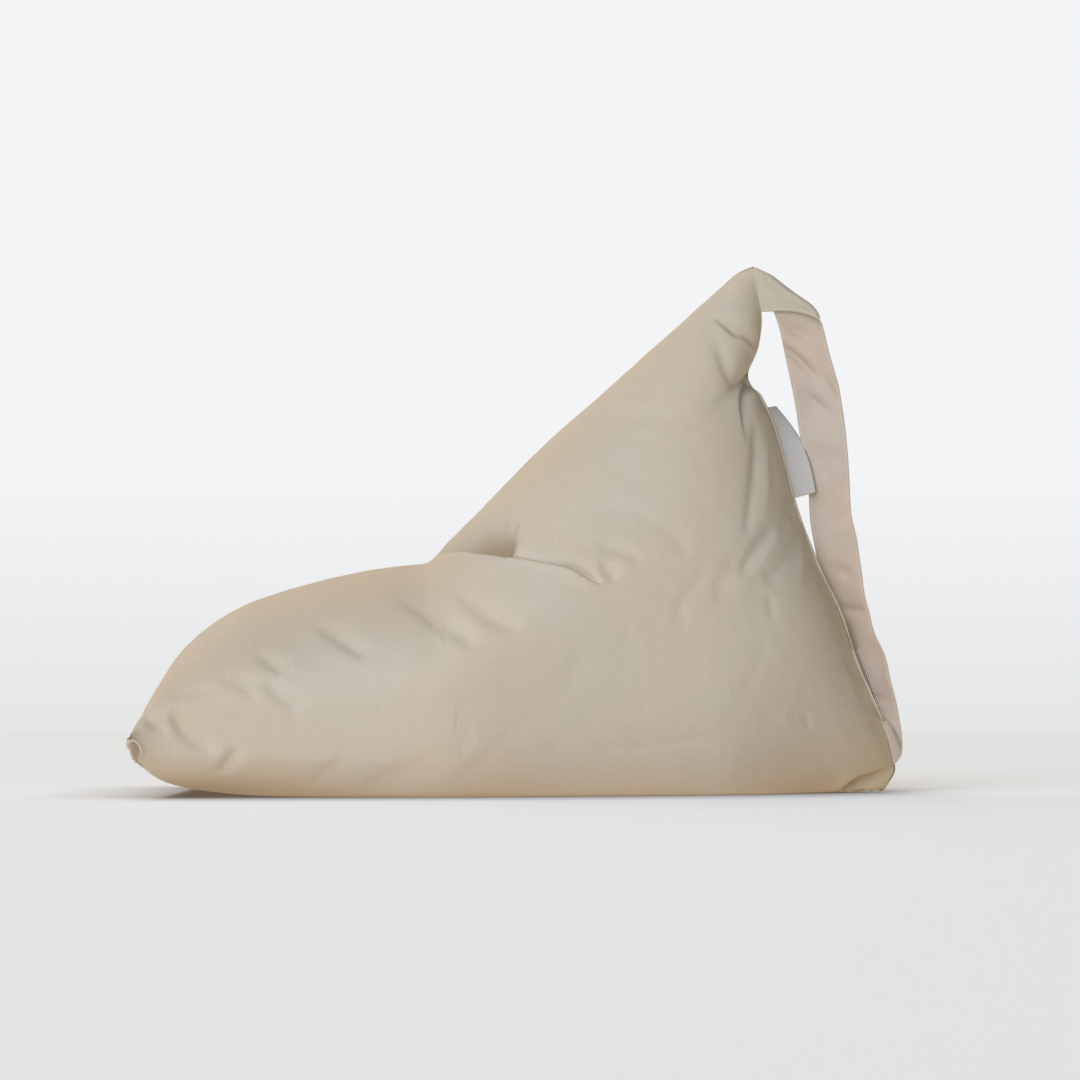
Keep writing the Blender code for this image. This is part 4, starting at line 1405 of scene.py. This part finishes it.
def build_strap(tree, finish, thread, end_thread):
    """The folded carry strap, doubled and sewn along both edges."""
    middle = strap_points()
    widths = lengths(middle, 1)[:, -1]
    even = np.linspace(0, 1, STRAP_CROSS)
    cross = 0.5 - 0.5 * np.cos(math.pi * even) * (1 - STRAP_EDGE_CROWDING * np.sin(math.pi * even) ** 2)
    middle = at_column(middle, cross * (STRAP_CROSS - 1))
    half = rounded_profile(cross, STRAP_THICKNESS, widths, STRAP_RIM, STRAP_STITCH_INSET, STRAP_GROOVE)
    run = lengths(middle, 0)
    off_ends = ease(run / STRAP_FLAT_START) * ease((run[-1] - run) / STRAP_FLAT_END)
    past_fold = ease((run - STRAP_SMOOTH_RUN) / STRAP_SMOOTH_FADE)
    ripples = (soft_waves(middle, *STRAP_WAVES) * past_fold - strap_dents(middle)) * off_ends
    middle = middle + surface_normals(middle) * ripples[..., None]
    strap = build_sheet("strap_cloth", middle, half, finish)
    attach(strap, BODY)
    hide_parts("strap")
    inset = STRAP_STITCH_INSET / widths.mean()
    lines = []
    for share, first in ((inset, 2 * STRAP_FOLD_ROWS), (1 - inset, STITCH_END_ROWS)):
        place = float(np.interp(share, cross, even))
        lines += [on_sheet(middle, half, place, side)[first:-STITCH_END_ROWS] for side in (-1, 1)]
    stitches = sew("strap_stitches", lines, tree, thread)
    off_middle = surface_normals(middle) * half[..., None]
    near_face = min(middle - off_middle, middle + off_middle, key=lambda face: face[..., 1].mean())
    ends = sew("seam_end_thread", seam_end_lines(near_face.reshape(-1, 3)), tree, end_thread)


def build_seam_band(tree, finish, thread):
    """The stitched band that stands out along the back seam."""
    middle, widths = seam_band_points()
    cross = np.linspace(0, 1, BAND_CROSS)
    half = rounded_profile(cross, BAND_THICKNESS, widths, BAND_RIM, BAND_GROOVE_INSET, BAND_GROOVE)
    half[:, 0] = BAND_THICKNESS / 2 * BAND_TUCKED_SHARE
    band = build_sheet("seam_band_cloth", middle, half, finish)
    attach(band, BODY)
    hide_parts("seam_band")
    rows = slice(STITCH_END_ROWS, -STITCH_END_ROWS)
    lines = [on_sheet(middle, half, BAND_STITCH_SHARE, side)[rows] for side in (-1, 1)]
    stitches = sew("band_stitches", lines, tree, thread)
    run = lengths(middle, 0).mean(axis=1)
    float((widths[1:] * np.diff(run)).sum())


def build_tag(finish):
    """The bare woven tag."""
    middle = tag_points()
    widths = lengths(middle, 1)[:, -1]
    half = rounded_profile(np.linspace(0, 1, TAG_CROSS), TAG_THICKNESS, widths, TAG_RIM)
    tag = build_sheet("tag_cloth", middle, half, finish)
    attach(tag, BODY)
    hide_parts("tag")


def stage_disc(name, profile, material):
    """A round stage piece from a profile of (radius, height) pairs."""
    vertices = [(0.0, 0.0, profile[0][1])] if profile[0][0] == 0 else []
    rings = [pair for pair in profile if pair[0] > 0]
    first = len(vertices)
    for radius, height in rings:
        for k in range(STAGE_STEPS):
            angle = 2 * math.pi * k / STAGE_STEPS
            vertices.append((radius * math.cos(angle), radius * math.sin(angle), height))
    faces = []
    if first:
        faces += [(0, first + k, first + (k + 1) % STAGE_STEPS) for k in range(STAGE_STEPS)]
    faces += [tuple(first + corner for corner in face) for face in ring_faces(len(rings), STAGE_STEPS)]
    mesh = bpy.data.meshes.new(name)
    mesh.from_pydata(vertices, [], faces)
    made = add_piece(name, mesh, material)
    return made


def build_stage():
    """A pale floor that runs into a round, plain backdrop, with a painted contact shadow that darkens its
    colour and glow near the bag. A glowing disc that the camera doesn't see stands in for the light that a
    floor throws back."""
    paint = Finish("floor_paint")
    # Painted shadow: ambient occlusion darkens the floor's colour and glow where the bag stands over it
    open_sky = paint.node("AmbientOcclusion", {"samples": 16}, {"Distance": CONTACT_SHADE_REACH}, output="AO")
    outside_painted_shadow = paint.clamped(open_sky * CONTACT_SHADE_RISE - CONTACT_SHADE_START)
    paint.set(
        Base_Color=paint.mixed(outside_painted_shadow, *FLOOR_PAINTED_SHADOW_AND_OPEN),
        Roughness=0.85,
        Specular_IOR_Level=0.1,
        Emission_Color=paint.mixed(outside_painted_shadow, *FLOOR_GLOW_PAINTED_SHADOW_AND_OPEN),
        Emission_Strength=0.25,
    )
    floor = stage_disc("floor", ((0.0, 0.0), (FLOOR_MIDDLE, 0.0), (FLOOR_RADIUS, 0.0)), paint.material)
    floor.visible_diffuse = False
    floor.visible_shadow = False

    paint = Finish("floor_bounce")
    place = paint.object_place()
    along = paint.axis(place, "X") * BOUNCE_SHAPE[0]
    across = paint.axis(place, "Y") * BOUNCE_SHAPE[1]
    away = (along * along + across * across) ** 0.5
    paint.glow(paint.ramp(BOUNCE_STOPS, away * BOUNCE_FADE))
    low = -BOUNCE_DEPTH
    under = stage_disc("floor_bounce", ((0.0, low), (FLOOR_MIDDLE, low), (FLOOR_RADIUS, low)), paint.material)
    under.visible_camera = False

    paint = Finish("backdrop_paint")
    height = paint.axis(paint.object_place(), "Z")
    paint.glow(paint.ramp(BACKDROP_STOPS, height * BACKDROP_FADE))
    curve = []
    for k in range(BACKDROP_ROWS + 1):
        turn = math.pi / 2 * k / BACKDROP_ROWS
        radius = FLOOR_RADIUS - BACKDROP_OVERLAP + (BACKDROP_RADIUS - FLOOR_RADIUS) * math.sin(turn)
        curve.append((radius, BACKDROP_HEIGHT * (1 - math.cos(turn))))
    backdrop = stage_disc("backdrop", curve, paint.material)
    backdrop.visible_diffuse = False
    backdrop.visible_glossy = False
    backdrop.visible_shadow = False


def build_lights():
    """The soft lights, and a faint warm room."""
    for name, azimuth, elevation, strength, angle, shade in LIGHTS:
        data = bpy.data.lights.new(name, "SUN")
        data.energy = strength * math.pi
        data.angle = math.radians(angle)
        data.color = shade
        light = bpy.data.objects.new(name, data)
        bpy.context.scene.collection.objects.link(light)
        light.rotation_euler = (math.radians(90 - elevation), 0, math.radians(azimuth))
    world = bpy.data.worlds.new("room")
    world.use_nodes = True
    background = world.node_tree.nodes["Background"]
    background.inputs["Color"].default_value = ROOM_SHADE
    background.inputs["Strength"].default_value = ROOM_STRENGTH
    bpy.context.scene.world = world


def build_camera():
    """The camera at the photograph's angle."""
    data = bpy.data.cameras.new("camera")
    data.sensor_width = SENSOR_MM
    data.lens = SENSOR_MM * FOCAL_PIXELS / FRAME_PIXELS
    camera = bpy.data.objects.new("camera", data)
    bpy.context.scene.collection.objects.link(camera)
    camera.location = CAMERA_PLACE
    camera.rotation_euler = (math.radians(90 + CAMERA_TILT), 0, 0)
    bpy.context.scene.camera = camera


TOE = toe_offset()


def main():
    bpy.context.scene.view_settings.view_transform = "Standard"
    build_camera()
    build_stage()
    build_lights()
    # The sand canvas carries painted shade along the back seam and in the folds
    sand = canvas_finish("sand_canvas", SAND_SHADES, CANVAS_BUMP, painted_shade=PAINTED_SHADE_TINT)
    strap = canvas_finish("strap_canvas", STRAP_SHADES, STRAP_BUMP, first_side=STRAP_FIRST_SIDE)
    thread = thread_finish("cream_thread", CREAM)
    cover = build_cover(sand)
    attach(cover, BODY)
    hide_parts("cover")
    build_toe_lips(sand)
    tree = stitch_tree()
    build_seam_band(tree, sand, thread)
    build_strap(tree, strap, thread, thread_finish("white_thread", OFF_WHITE))
    build_tag(satin_finish())


main()
